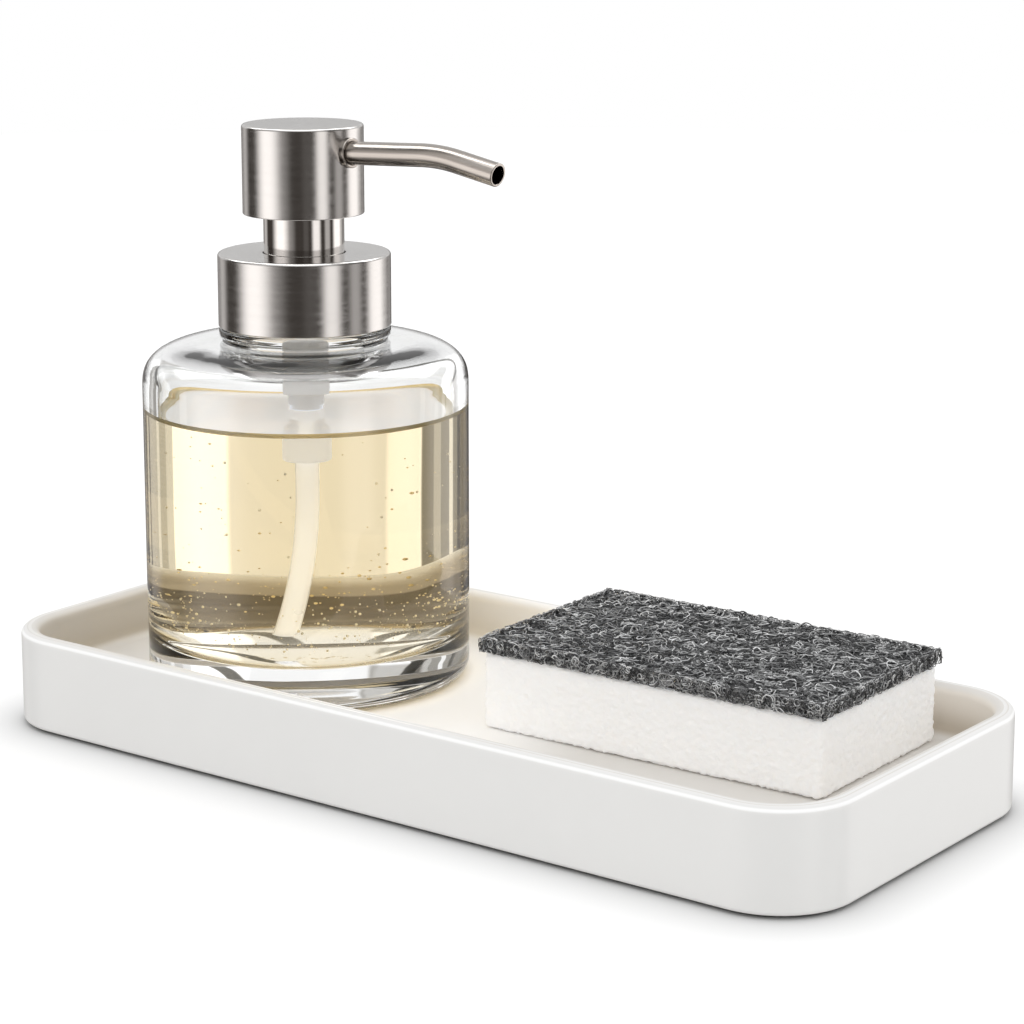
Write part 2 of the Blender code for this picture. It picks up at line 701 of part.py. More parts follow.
def make_neck_parts(pump):
    """Gasket, lock ring and the steel sleeve that the head slides over."""
    turned(
        "neck_gasket",
        [
            (FLANGE_RADIUS, GASKET_Z + GASKET_THICKNESS),
            (FLANGE_RADIUS, GASKET_Z),
            (GASKET_BORE_RADIUS, GASKET_Z),
            (GASKET_BORE_RADIUS, GASKET_Z + GASKET_THICKNESS),
        ],
        finish("neck_gasket", (0.72, 0.72, 0.70), 0.7),
        pump,
    )
    lock_base = FLANGE_TOP + GAP
    plug_radius = PISTON_BORE_RADIUS - GAP
    turned(
        "lock_ring",
        [
            (LOCK_TOWER_RADIUS, LOCK_TOWER_TOP),
            (LOCK_TOWER_RADIUS, LOCK_FLANGE_TOP),
            (SLEEVE_BORE_RADIUS - LOCK_CLEARANCE, LOCK_FLANGE_TOP),
            (SLEEVE_BORE_RADIUS - LOCK_CLEARANCE, lock_base),
            (plug_radius, lock_base),
            (plug_radius, LOCK_FOOT),
            (STEM_RADIUS + GAP, LOCK_FOOT),
            (STEM_RADIUS + GAP, LOCK_TOWER_TOP),
        ],
        finish("lock_ring", (0.85, 0.86, 0.87), 0.4),
        pump,
    )
    turned(
        "neck_sleeve",
        [
            (SLEEVE_RADIUS, SLEEVE_TOP, SLEEVE_ROUND, 2),
            (SLEEVE_RADIUS, SLEEVE_FOOT),
            (SLEEVE_BORE_RADIUS, SLEEVE_FOOT),
            (SLEEVE_BORE_RADIUS, SLEEVE_TOP - SLEEVE_WALL),
            (STEM_RADIUS + GAP, SLEEVE_TOP - SLEEVE_WALL),
            (STEM_RADIUS + GAP, SLEEVE_TOP),
        ],
        finish("neck_sleeve", (0.60, 0.57, 0.54), 0.2, 1.0),
        pump,
        METAL_STEPS,
    )


def make_dip_tube(pump):
    route = tube_route(BOTTLE_FLOOR + TUBE_FLOOR_CLEARANCE)
    milky = finish("dip_tube", (0.93, 0.93, 0.91), 0.3, transmission=0.4)
    tube = along(route, "dip_tube", TUBE_RADIUS, 4, pump, PARTS, milky)
    above = route[0] + Vector((0, 0, OVERRUN))
    below = route[-1] + (route[-1] - route[-2]).normalized() * OVERRUN
    bore = along([above, *route[1:-1], below], "dip_tube_bore", TUBE_BORE_RADIUS, 2, pump, CUTTERS)
    combine(tube, bore, "DIFFERENCE")


def make_ball(pump):
    shape = bmesh.new()
    bmesh.ops.create_uvsphere(
        shape, u_segments=FOOT_STEPS, v_segments=FOOT_STEPS // 2, radius=BALL_RADIUS
    )
    mesh = bpy.data.meshes.new("inlet_ball")
    shape.to_mesh(mesh)
    shape.free()
    mesh.shade_smooth()
    ball = add_object("inlet_ball", mesh, pump, finish("inlet_ball", (0.7, 0.7, 0.72), 0.15, 1.0))
    ball.location = (0, 0, BALL_Z)


def spring_route(foot, top):
    """A helix whose first and last half turns lie closer."""
    count = SPRING_TURNS * SPRING_TURN_POINTS
    weights = []
    for step in range(count):
        near_end = min(step, count - 1 - step) < SPRING_TURN_POINTS / 2
        weights.append(SPRING_END_SHARE if near_end else 1.0)
    total = sum(weights)
    points = []
    climbed = 0.0
    for step in range(count + 1):
        angle = math.tau * step / SPRING_TURN_POINTS
        z = foot + (top - foot) * climbed / total
        points.append(Vector((math.cos(angle) * SPRING_RADIUS, math.sin(angle) * SPRING_RADIUS, z)))
        if step < count:
            climbed += weights[step]
    return points


def least_gap(points, turn_points, thickness):
    """The least clear space between stretches of a coil that lie a turn or so apart."""
    least = math.inf
    for index, point in enumerate(points):
        for other in points[index + turn_points - 1 :]:
            least = min(least, (other - point).length - thickness)
    return least


def make_spring(pump):
    foot = SPRING_SEAT + GAP + SPRING_WIRE_RADIUS
    top = STEM_FOOT - GAP - SPRING_WIRE_RADIUS
    route = spring_route(foot, top)
    print(
        "return_spring, least gap between turns in millimetres:",
        round(least_gap(route, SPRING_TURN_POINTS, 2 * SPRING_WIRE_RADIUS) * 1000, 2),
    )
    steel = finish("return_spring", (0.6, 0.6, 0.6), 0.3, 1.0)
    along(route, "return_spring", SPRING_WIRE_RADIUS, 1, pump, PARTS, steel)


def make_plunger(plunger, head):
    """The piston seal, and the hollow stem that it rides on."""
    outer = PISTON_BORE_RADIUS - GAP
    inner = STEM_RADIUS + GAP
    turned(
        "piston_seal",
        [
            (outer, PISTON_TOP),
            (outer, PISTON_TOP - PISTON_LIP),
            (outer - PISTON_WAIST, PISTON_TOP - PISTON_LIP),
            (outer - PISTON_WAIST, PISTON_FOOT + PISTON_LIP),
            (outer, PISTON_FOOT + PISTON_LIP),
            (outer, PISTON_FOOT),
            (inner, PISTON_FOOT),
            (inner, PISTON_TOP),
        ],
        finish("piston_seal", (0.25, 0.35, 0.5), 0.5),
        plunger,
    )
    turned(
        "stem_tube",
        [
            (STEM_RADIUS, STEM_TOP),
            (STEM_RADIUS, STEM_BEAD_TOP),
            (STEM_FLANGE_RADIUS, STEM_BEAD_TOP),
            (STEM_FLANGE_RADIUS, STEM_BEAD_FOOT),
            (STEM_RADIUS, STEM_BEAD_FOOT),
            (STEM_RADIUS, STEM_FOOT + STEM_FLANGE_THICKNESS),
            (STEM_FLANGE_RADIUS, STEM_FOOT + STEM_FLANGE_THICKNESS),
            (STEM_FLANGE_RADIUS, STEM_FOOT),
            (STEM_BORE_RADIUS, STEM_FOOT),
            (STEM_BORE_RADIUS, STEM_TOP),
        ],
        finish("stem_tube", (0.85, 0.86, 0.87), 0.4),
        head,
    )


def spout_frame():
    """The frame of the spout, with its X axis along the straight run out of the head."""
    root_z = SPOUT_AXIS_Z - HEAD_RADIUS * math.tan(SPOUT_RISE_ANGLE)
    tilt = Matrix.Rotation(-SPOUT_RISE_ANGLE, 4, "Y")
    return Matrix.Translation((0, 0, root_z)) @ tilt


def across_head(name, radius, start, end, collection, material=None, parent=None):
    """A cylinder along the spout's axis from one distance to another."""
    along_x = Matrix.Rotation(math.pi / 2, 4, "Y")
    place = spout_frame() @ Matrix.Translation((start, 0, 0)) @ along_x
    return bored(name, radius, end - start, place, collection, material, parent)


def make_head(head):
    """The steel head cup, and the moulded elbow in it."""
    shell = turned(
        "head_shell",
        [
            (0, HEAD_TOP),
            (HEAD_RADIUS, HEAD_TOP, HEAD_TOP_ROUND),
            (HEAD_RADIUS, HEAD_FOOT, HEAD_FOOT_ROUND, 1),
            (HEAD_RADIUS - HEAD_WALL, HEAD_FOOT),
            (HEAD_RADIUS - HEAD_WALL, HEAD_TOP - HEAD_WALL),
            (0, HEAD_TOP - HEAD_WALL),
        ],
        finish("head_shell", (0.62, 0.59, 0.56), 0.24, 1.0),
        head,
        METAL_STEPS,
        closed=False,
    )
    ring_radius = SPOUT_RADIUS + GAP + SPOUT_RING_WALL
    side_hole = across_head(
        "spout_side_hole",
        ring_radius + GAP,
        HEAD_RADIUS / 2,
        HEAD_RADIUS + OVERRUN,
        CUTTERS,
        parent=head,
    )
    combine(shell, side_hole, "DIFFERENCE")

    outer = HEAD_RADIUS - HEAD_WALL - GAP
    insert = turned(
        "head_insert",
        [
            (0, INSERT_TOP),
            (outer, INSERT_TOP),
            (outer, INSERT_FOOT),
            (outer - INSERT_WALL, INSERT_FOOT),
            (outer - INSERT_WALL, INSERT_TOP - INSERT_WALL),
            (INSERT_BOSS_RADIUS, INSERT_TOP - INSERT_WALL),
            (INSERT_BOSS_RADIUS, INSERT_FOOT),
            (0, INSERT_FOOT),
        ],
        finish("head_insert", (0.85, 0.86, 0.87), 0.4),
        head,
        closed=False,
    )
    boss_end = outer - INSERT_WALL / 2
    boss = across_head(
        "spout_boss", SPOUT_RADIUS + GAP + SPOUT_BOSS_WALL, 0, boss_end, CUTTERS, parent=head
    )
    combine(insert, boss, "UNION")
    socket = across_head(
        "spout_socket",
        SPOUT_RADIUS + GAP,
        SPOUT_ROOT_INSET - GAP,
        HEAD_RADIUS + OVERRUN,
        CUTTERS,
        parent=head,
    )
    combine(insert, socket, "DIFFERENCE")
    channel = across_head(
        "spout_channel", STEM_BORE_RADIUS, 0, SPOUT_ROOT_INSET + OVERRUN, CUTTERS, parent=head
    )
    combine(insert, channel, "DIFFERENCE")
    stem_socket = turned(
        "stem_socket",
        [
            (0, SPOUT_AXIS_Z),
            (STEM_BORE_RADIUS, SPOUT_AXIS_Z),
            (STEM_BORE_RADIUS, STEM_TOP + GAP),
            (STEM_RADIUS + GAP, STEM_TOP + GAP),
            (STEM_RADIUS + GAP, INSERT_FOOT - OVERRUN),
            (0, INSERT_FOOT - OVERRUN),
        ],
        None,
        head,
        closed=False,
        collection=CUTTERS,
    )
    combine(insert, stem_socket, "DIFFERENCE")


def spout_route():
    """The spout's axis in its own frame: straight out, one bend down, a straight tip."""
    points = [Vector((SPOUT_ROOT_INSET, 0, 0))]
    for step in range(SPOUT_BEND_POINTS + 1):
        angle = SPOUT_BEND_ANGLE * step / SPOUT_BEND_POINTS
        x = SPOUT_STRAIGHT_REACH + SPOUT_BEND_RADIUS * math.sin(angle)
        z = -SPOUT_BEND_RADIUS * (1 - math.cos(angle))
        points.append(Vector((x, 0, z)))
    ahead = Vector((math.cos(SPOUT_BEND_ANGLE), 0, -math.sin(SPOUT_BEND_ANGLE)))
    points.append(points[-1] + ahead * SPOUT_TIP_LENGTH)
    return points


def make_spout(head):
    frame = spout_frame()
    route = [frame @ point for point in spout_route()]
    steel = finish("spout_tube", (0.60, 0.56, 0.53), 0.22, 1.0)
    spout = along(route, "spout_tube", SPOUT_RADIUS, SPOUT_SIDES_RESOLUTION, head, PARTS, steel)
    before = route[0] - (route[1] - route[0]).normalized() * OVERRUN
    after = route[-1] + (route[-1] - route[-2]).normalized() * OVERRUN
    bore = along(
        [before, *route[1:-1], after],
        "spout_bore",
        SPOUT_BORE_RADIUS,
        SPOUT_SIDES_RESOLUTION,
        head,
        CUTTERS,
    )
    combine(spout, bore, "DIFFERENCE")

    inner = SPOUT_RADIUS + GAP
    ring = turned(
        "spout_ring",
        [
            (inner + SPOUT_RING_WALL, SPOUT_RING_PROUD, SPOUT_RING_WALL / 2, 2),
            (inner + SPOUT_RING_WALL, -HEAD_WALL),
            (inner, -HEAD_WALL),
            (inner, SPOUT_RING_PROUD, SPOUT_RING_WALL / 3, 1),
        ],
        finish("spout_ring", (0.55, 0.52, 0.49), 0.22, 1.0),
        head,
    )
    outward = Matrix.Rotation(math.pi / 2, 4, "Y")
    ring.matrix_local = frame @ Matrix.Translation((HEAD_RADIUS, 0, 0)) @ outward


def make_sponge(sponge):
    """The foam block, and the scouring pad bonded on it."""
    pieces = (
        ("sponge_foam", FOAM_HEIGHT, 0, finish("sponge_foam", (0.93, 0.92, 0.90), 0.95)),
        ("scour_pad", PAD_THICKNESS, PAD_Z - FOAM_Z, finish("scour_pad", (0.07, 0.075, 0.08), 0.9)),
    )
    for name, height, foot, material in pieces:
        slab = block(
            name,
            (SPONGE_LENGTH, SPONGE_WIDTH, height),
            (0, 0, foot + height / 2),
            PARTS,
            sponge,
            material,
        )
        bevel = slab.modifiers.new("soft_edges", "BEVEL")
        bevel.width = SPONGE_EDGE_ROUND
        bevel.segments = 2
        bevel.limit_method = "ANGLE"
        slab.data.shade_smooth()


clear_scene()
PARTS = new_collection("countertop_organizer")
CUTTERS = new_collection("cutters")
CUTTERS.hide_render = True

make_tray()
make_feet()

dispenser_axis = axis_empty("dispenser_axis", (BOTTLE_X, 0, 0))
make_bottle(dispenser_axis)
make_liquid(dispenser_axis)

pump_axis = axis_empty("pump_axis", (0, 0, 0), dispenser_axis)
make_housing(pump_axis)
make_neck_parts(pump_axis)
make_dip_tube(pump_axis)
make_ball(pump_axis)
make_spring(pump_axis)

closure_axis = axis_empty("closure_axis", (0, 0, 0), pump_axis)
make_closure(closure_axis)

plunger_axis = axis_empty("plunger_axis", (0, 0, 0), pump_axis)
head_axis = axis_empty("head_axis", (0, 0, 0), plunger_axis)
make_plunger(plunger_axis, head_axis)
make_head(head_axis)
make_spout(head_axis)

sponge_place = axis_empty("sponge_place", (SPONGE_X, SPONGE_Y, FOAM_Z), None, (0, 0, SPONGE_TURN))
make_sponge(sponge_place)
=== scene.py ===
import math
import random
from itertools import product

import bpy
import numpy as np
from mathutils import Matrix, Vector, noise


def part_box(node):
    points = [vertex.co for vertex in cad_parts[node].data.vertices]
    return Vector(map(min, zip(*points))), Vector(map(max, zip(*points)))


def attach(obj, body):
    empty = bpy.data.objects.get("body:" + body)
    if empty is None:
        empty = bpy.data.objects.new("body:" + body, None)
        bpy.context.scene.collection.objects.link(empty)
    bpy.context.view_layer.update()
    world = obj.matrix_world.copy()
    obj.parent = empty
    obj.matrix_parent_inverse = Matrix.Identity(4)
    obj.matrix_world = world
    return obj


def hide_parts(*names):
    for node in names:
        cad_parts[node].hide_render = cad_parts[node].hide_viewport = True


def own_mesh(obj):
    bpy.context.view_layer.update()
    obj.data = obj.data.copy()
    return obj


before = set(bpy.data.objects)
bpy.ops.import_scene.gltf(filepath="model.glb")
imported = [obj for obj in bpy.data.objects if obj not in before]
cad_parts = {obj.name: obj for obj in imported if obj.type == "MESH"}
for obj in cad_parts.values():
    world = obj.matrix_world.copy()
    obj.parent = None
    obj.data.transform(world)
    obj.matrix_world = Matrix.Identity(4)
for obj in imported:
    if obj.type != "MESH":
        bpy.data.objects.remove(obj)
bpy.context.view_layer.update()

# Places that the frame gives
TRAY_LOW, TRAY_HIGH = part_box("tray_shell")
GLASS_LOW, GLASS_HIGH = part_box("bottle_glass")
COLLAR_LOW, COLLAR_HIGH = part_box("collar_shell")
SLEEVE_LOW, SLEEVE_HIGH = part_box("neck_sleeve")
HEAD_LOW, HEAD_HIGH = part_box("head_shell")
BARREL_LOW, BARREL_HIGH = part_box("pump_housing")
TUBE_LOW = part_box("dip_tube")[0]
FOAM_LOW, FOAM_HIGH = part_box("sponge_foam")
PAD_LOW, PAD_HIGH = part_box("scour_pad")
SPRING_LOW, SPRING_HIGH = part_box("return_spring")
AXIS = Vector(((GLASS_LOW.x + GLASS_HIGH.x) / 2, 0, 0))

# Fineness: sides of a round, and lengths in metres
AROUND_BOTTLE = 160
AROUND_BARREL = 96
AROUND_RING = 64
AROUND_SPOUT = 48
AROUND_BOSS = 40
AROUND_TUBE = 32
SUPPORT = 0.00006  # from the end of a round to the loop that holds the flat beside it
SHARP = math.radians(35)
WELD = 0.000001

# Tray, metres
TRAY_CORNER = 0.0209
RIM_WIDTH = 0.0053
RIM_OUTER_ROUND = 0.0019
RIM_INNER_ROUND = 0.0025
FLOOR_TOP = 0.0130
FLOOR_UNDERSIDE = 0.0100
FLOOR_FILLET = 0.0034
SKIRT = 0.0030
SKIRT_OUTER_ROUND = 0.0012
SKIRT_INNER_ROUND = 0.0006
UNDERSIDE_FILLET = 0.0020
RIB_THICKNESS = 0.0016
RIB_FOOT = 0.0080
CROSS_RIB_SHARES = (-0.25, 0.0, 0.25)
BOSS_RADIUS = 0.0080
BOSS_FOOT = 0.0015
BOSS_INSET = 0.0170
RECESS_RADIUS = 0.0059
RECESS_TOP = 0.0029
LYING = 0.97  # how far up a face of the floor points at least

# Glass, metres
GLASS_WALL = 0.0038
GLASS_BASE = 0.0104
SHOULDER_TOP = 0.1051
SHOULDER_ROUND = 0.0115
SHOULDER_CROWN = 0.0006
SHOULDER_FULLNESS = 2.7
INNER_FULLNESS = 3.6
HEEL_ROUND = 0.0040
BOWL_ROUND = 0.0085
BOWL_END = BOWL_ROUND * 1.01
PUNT_RADIUS = 0.0360
PUNT_DEPTH = 0.0024
NECK_ROOT = 0.0219
BEAD_RADIUS = 0.0231
BEAD_LIFT = 0.0008
BEAD_HEIGHT = 0.0028
BEAD_ROUND = 0.0011
NECK_RADIUS = 0.0192
NECK_BORE = 0.0155
LIP_ROUND = 0.0007
FLOOR_DOME = 0.0030
GLASS_IOR = 1.5

# Soap, metres
FILL = 0.0865
WETTING = 0.00003  # how far the filling reaches into the glass, so that no air lies between
MENISCUS_RISE = 0.0015
MENISCUS_REACH = 0.0022
MENISCUS_POWER = 2.6
WET_LINE = FILL + MENISCUS_RISE
SOAP_IOR = 1.37
SOAP_TINT = (0.90, 0.70, 0.20)
SOAP_DENSITY = 10.5  # per metre
RIM_GOLD = (1.0, 0.87, 0.52)

# Bubbles, metres
BUBBLES = 620
BUBBLE_SEED = 11
BUBBLE_ROWS = 6
BUBBLE_SIDES = 10
BUBBLE_SIZES = (0.00010, 0.00013, 0.00016, 0.00020, 0.00026, 0.00036)
BUBBLE_OUTWARD = (0.35, 1.0)  # shares of the soap's round, by area
BUBBLE_INSET = 0.0012
BUBBLE_LIFT = 0.0040
LOW_BUBBLES = 0.78  # the share of them that keeps near the floor
LOW_REACH = 0.0140
HIGH_REACH = 0.0520

# Metal, metres
METAL_WALL = 0.0009
COLLAR_TOP_ROUND = 0.0009
COLLAR_FOOT_ROUND = 0.0003
SLEEVE_WALL = 0.0008
SLEEVE_BORE = 0.0036
HEAD_TOP_ROUND = 0.0008
HEAD_FOOT_ROUND = 0.0003
GAP = 0.0003

# Spout, metres
SPOUT_RADIUS = 0.00308
SPOUT_BORE = 0.00245
SPOUT_DROP = 0.0068
SPOUT_RISE = math.radians(2.5)
SPOUT_BEND = math.radians(13.5)
SPOUT_BEND_RADIUS = 0.0500
SPOUT_STRAIGHT = 0.0405
SPOUT_TIP = 0.0133
SPOUT_ROOT = 0.0080
SPOUT_TIP_ROUND = 0.00022
RING_WALL = 0.0006
RING_PROUD = 0.0011

# Pump, metres
BARREL_RADIUS = 0.00625
BARREL_FOOT = 0.0910
TAIL_RADIUS = 0.00485
BARREL_ROUND = 0.0010
FLANGE_RADIUS = 0.0186
FLANGE_FOOT = 0.1246
TUBE_RADIUS = 0.0024
TUBE_BORE = 0.0016
TUBE_SWING = 0.0064
TUBE_STRAIGHT = 0.0080
TUBE_LIFT = TUBE_RADIUS * 0.3

# Return spring, metres
SPRING_WIRE = 0.0004
SPRING_TURNS = 8
SPRING_TURN_STEPS = 24
SPRING_WIRE_SIDES = 10
SPRING_END_SHARE = 0.4

# Sponge, metres
SPONGE_SIZE = np.array((0.0999, 0.0583))
HALF_SPONGE = SPONGE_SIZE / 2
SPONGE_TURN = math.radians(1.25)
SPONGE_CENTRE = Vector(((FOAM_LOW.x + FOAM_HIGH.x) / 2, (FOAM_LOW.y + FOAM_HIGH.y) / 2, 0))
SPONGE_PLACE = Matrix.Translation(SPONGE_CENTRE) @ Matrix.Rotation(SPONGE_TURN, 4, "Z")
FOAM_INSET = 0.0004
FOAM_ROUND = 0.0012
FOAM_STEP = 0.0005
FOAM_UNEVEN = (0.00036, 1000.0, 3)  # how deep, how fine, and a seed
FELT_INSET = 0.0012
FELT_DROP = 0.0010
FELT_ROUND = 0.0010
FELT_STEP = 0.0009
FELT_UNEVEN = (0.0005, 700.0, 7)
FIBRES = 9000
SIDE_FIBRES = 3800
FIBRE_RADIUS = 0.00014
FIBRE_POINTS = 10
FIBRE_SEED = 5
FIBRE_TAPER = 0.35
FIBRE_INSET = 0.0003
FIBRE_WOBBLE = 0.25
FIBRE_SIDES = 3
FIBRE_PROUD = 0.0004
FIBRE_TILT = 0.35
TOP_BENDS = (0.18, 0.75)
TOP_STEPS = (0.00045, 0.00085)
TOP_THICKNESS = (0.75, 1.35)
SIDE_BENDS = (0.25, 0.85)
SIDE_STEPS = (0.00035, 0.0007)
SIDE_THICKNESS = (0.7, 1.2)
SIDE_REACH = FIBRE_RADIUS * 2.4
NEAR_SIDE = 0.93  # from here outwards, as a share of the way, strands start at any depth

# Colours and gloss of the tray, with its painted highlight and painted shade
TRAY_COLOUR = (0.83, 0.825, 0.81)
TRAY_SHADE = (0.815, 0.81, 0.795)
# Painted shade: the flat top of the rim is drawn darker than the sides
TRAY_TOP_SHADE = (0.77, 0.765, 0.755)
# Painted highlight: the outer round of the rim is drawn lighter
TRAY_ROUNDS_HIGHLIGHT = (0.985, 0.985, 0.98)
# Painted shade inside the tray: floor and walls darker toward both ends, walls darker and warmer toward
# their foot
TRAY_FLOORS_SHADED = ((0.70, 0.69, 0.675), (0.975, 0.97, 0.96))
TRAY_FLOOR_RIGHT_SHADE = (0.69, 0.67, 0.64)
TRAY_WALLS_SHADED = ((0.60, 0.57, 0.53), (0.98, 0.95, 0.91))
TRAY_FEET_SHADE = ((0.53, 0.485, 0.42), (0.88, 0.82, 0.72))
TRAY_RIGHT_END_SHADE = ((0.48, 0.42, 0.34), (0.82, 0.77, 0.70))
TRAY_SHADOW_BEHIND_GLASS = tuple(channel * 0.42 for channel in TRAY_FEET_SHADE[0])  # painted shadow of the bottle, as glass and soap show it
# How far up a face points where a zone of the tray begins and where it is complete: the painted highlight
# of the rounds, the painted shade of the top, and the walls
ROUND_BEGINS = (0.2, 0.45)
ROUND_ENDS = (0.60, 0.80)
TOP_BEGINS = (0.55, 0.80)
WALL_ENDS = (0.35, 0.95)

# Effects
NOISE_SPAN = (0.3, 0.7)  # most of what a noise gives lies in here
SCRATCH_WANDER = 0.0016
CELL_SHARES = (1.0, 0.42)


def feed(socket, value):
    """Gives a socket a plain value, or a link to a value of the tree."""
    if isinstance(value, Value):
        value.tree.links.new(value.socket, socket)
    elif socket.type == "RGBA":
        socket.default_value = (*value, 1)[:4]
    else:
        socket.default_value = value


def outputs_of(tree, made):
    return {socket.name: Value(tree, socket) for socket in made.outputs}


def node(tree, kind, inputs=None, **settings):
    """The outputs of a new shader node, by name."""
    made = tree.nodes.new(kind)
    for name, value in settings.items():
        setattr(made, name, value)
    for name, value in (inputs or {}).items():
        feed(made.inputs[name], value)
    return outputs_of(tree, made)


class Value:
    """A value in a shader tree. Arithmetic with it adds math nodes to that tree."""

    def __init__(self, tree, socket):
        self.tree = tree
        self.socket = socket

    def math(self, operation, *others):
        inputs = dict(enumerate((self, *others)))
        return node(self.tree, "ShaderNodeMath", inputs, operation=operation)["Value"]

    def __add__(self, other):
        return self.math("ADD", other)

    def __sub__(self, other):
        return self.math("SUBTRACT", other)

    def __mul__(self, other):
        return self.math("MULTIPLY", other)

    def times_plus(self, factor, other):
        return self.math("MULTIPLY_ADD", factor, other)

    def ranged(self, low, high, to_low=0.0, to_high=1.0, kind="LINEAR"):
        """The value moved from one range to another, and held inside it."""
        inputs = {"Value": self, "From Min": low, "From Max": high, "To Min": to_low, "To Max": to_high}
        return node(self.tree, "ShaderNodeMapRange", inputs, interpolation_type=kind)["Result"]

    def eased(self, low, high, to_low=0.0, to_high=1.0):
        """The same with soft ends."""
        return self.ranged(low, high, to_low, to_high, "SMOOTHSTEP")


def mixed(factor, first, second, blend="MIX"):
    """A colour between two."""
    tree = next(value.tree for value in (factor, first, second) if isinstance(value, Value))
    made = tree.nodes.new("ShaderNodeMix")
    made.data_type = "RGBA"
    made.blend_type = blend
    colours = [socket for socket in made.inputs if socket.type == "RGBA"]
    for socket, value in zip((made.inputs[0], *colours), (factor, first, second)):
        feed(socket, value)
    return next(Value(tree, socket) for socket in made.outputs if socket.type == "RGBA")


def coloured(red, green, blue):
    inputs = {"Red": red, "Green": green, "Blue": blue}
    return node(red.tree, "ShaderNodeCombineColor", inputs)["Color"]


def own_place(tree):
    """Where a point lies on its object."""
    return node(tree, "ShaderNodeTexCoord")["Object"]


def parts_of(vector):
    return node(vector.tree, "ShaderNodeSeparateXYZ", {"Vector": vector})


def grain(tree, scale, detail=2.0, roughness=0.5, where=None):
    """Noise over the object, or over another place that is given."""
    inputs = {"Vector": where or own_place(tree), "Scale": scale, "Detail": detail, "Roughness": roughness}
    return node(tree, "ShaderNodeTexNoise", inputs)["Fac"]


def bump(height, strength, distance):
    inputs = {"Height": height, "Strength": strength, "Distance": distance}
    return node(height.tree, "ShaderNodeBump", inputs)["Normal"]


def group(name, inputs, results):
    """An effect group, from its inputs with their defaults and a function that gives its outputs."""
    tree = bpy.data.node_groups.new(name, "ShaderNodeTree")
    for socket_name, default in inputs.items():
        socket = tree.interface.new_socket(socket_name, in_out="INPUT", socket_type="NodeSocketFloat")
        socket.default_value = default
    given = outputs_of(tree, tree.nodes.new("NodeGroupInput"))
    made = results(tree, given)
    for socket_name in made:
        tree.interface.new_socket(socket_name, in_out="OUTPUT", socket_type="NodeSocketFloat")
    end = tree.nodes.new("NodeGroupOutput")
    for socket_name, value in made.items():
        feed(end.inputs[socket_name], value)
    return tree


def place_effect(tree, effect, **values):
    """The outputs of an effect group in a tree, with its own values, which may be links."""
    inputs = {name.replace("_", " ").title(): value for name, value in values.items()}
    return node(tree, "ShaderNodeGroup", inputs, node_tree=effect)


def skin_results(height, tone, given):
    """What each group of a surface gives: its height, its roughness and a tone."""
    return {
        "Height": height,
        "Roughness": tone.ranged(*NOISE_SPAN, -1.0, 1.0).times_plus(given["Spread"], given["Roughness"]),
        "Tone": tone.ranged(*NOISE_SPAN),
    }


def moulded_skin(tree, given):
    """The faint orange peel of a moulded surface, and a gloss that drifts."""
    broad = grain(tree, given["Scale"] * 0.04, 3.0)
    return skin_results(grain(tree, given["Scale"]), broad, given)


def turned_lines(tree, given):
    """Fine lines left by brushing on a lathe, round the vertical axis, on sides and tops alike."""
    place = parts_of(own_place(tree))
    across = place["X"] - given["Axis X"]
    radius = (across * across + place["Y"] * place["Y"]).math("SQRT")
    line = (radius + place["Z"]) * given["Density"]
    wander = place["Y"].math("ARCTAN2", across) * SCRATCH_WANDER * given["Density"]
    spot = node(tree, "ShaderNodeCombineXYZ", {"X": line, "Y": wander})["Vector"]
    fine = grain(tree, 1.0, 3.0, 0.65, spot)
    coarse = grain(tree, 0.14, 1.0, where=spot)
    return skin_results(fine, coarse.times_plus(0.4, fine * 0.6), given)


def drawn_lines(tree, given):
    """Long scratches along X, which drawing and polishing leave on a tube."""
    place = parts_of(own_place(tree))
    spot = {"X": place["X"] * given["Stretch"], "Y": place["Y"], "Z": place["Z"]}
    lines = grain(tree, given["Density"], 3.0, 0.6, node(tree, "ShaderNodeCombineXYZ", spot)["Vector"])
    return skin_results(lines, lines, given)


def open_cells(tree, given):
    """The cells of foam: pits of two sizes, and a broad mottle."""
    height = 0.0
    for share in CELL_SHARES:
        inputs = {"Vector": own_place(tree), "Scale": given["Scale"] * share}
        cells = node(tree, "ShaderNodeTexVoronoi", inputs, feature="F1")
        height = cells["Distance"].times_plus(0.5, height)
    mottle = grain(tree, given["Scale"] * 0.09, 4.0).ranged(0.35, 0.65)
    return {"Height": height, "Pits": height.eased(0.15, 0.5, 1.0, 0.0), "Mottle": mottle}


SKIN = group("moulded_skin", {"Scale": 900.0, "Roughness": 0.4, "Spread": 0.08}, moulded_skin)
TURNED = group(
    "turned_lines", {"Axis X": 0.0, "Density": 6000.0, "Roughness": 0.2, "Spread": 0.06}, turned_lines
)
DRAWN = group(
    "drawn_lines", {"Density": 5000.0, "Stretch": 0.02, "Roughness": 0.2, "Spread": 0.05}, drawn_lines
)
CELLS = group("open_cells", {"Scale": 1400.0}, open_cells)


def new_material(name):
    material = bpy.data.materials.new(name)
    material.use_nodes = True
    return material, material.node_tree, material.node_tree.nodes["Principled BSDF"]


def finish(name, look, *choices, **others):
    """A material, from a look that gives the inputs of its shader."""
    material, tree, shader = new_material(name)
    for socket_name, value in look(tree, *choices, **others).items():
        feed(shader.inputs[socket_name], value)
    return material


def surfaced(name, surface):
    """A material whose whole surface comes from a function."""
    material, tree, shader = new_material(name)
    tree.nodes.remove(shader)
    feed(tree.nodes["Material Output"].inputs["Surface"], surface(tree))
    return material


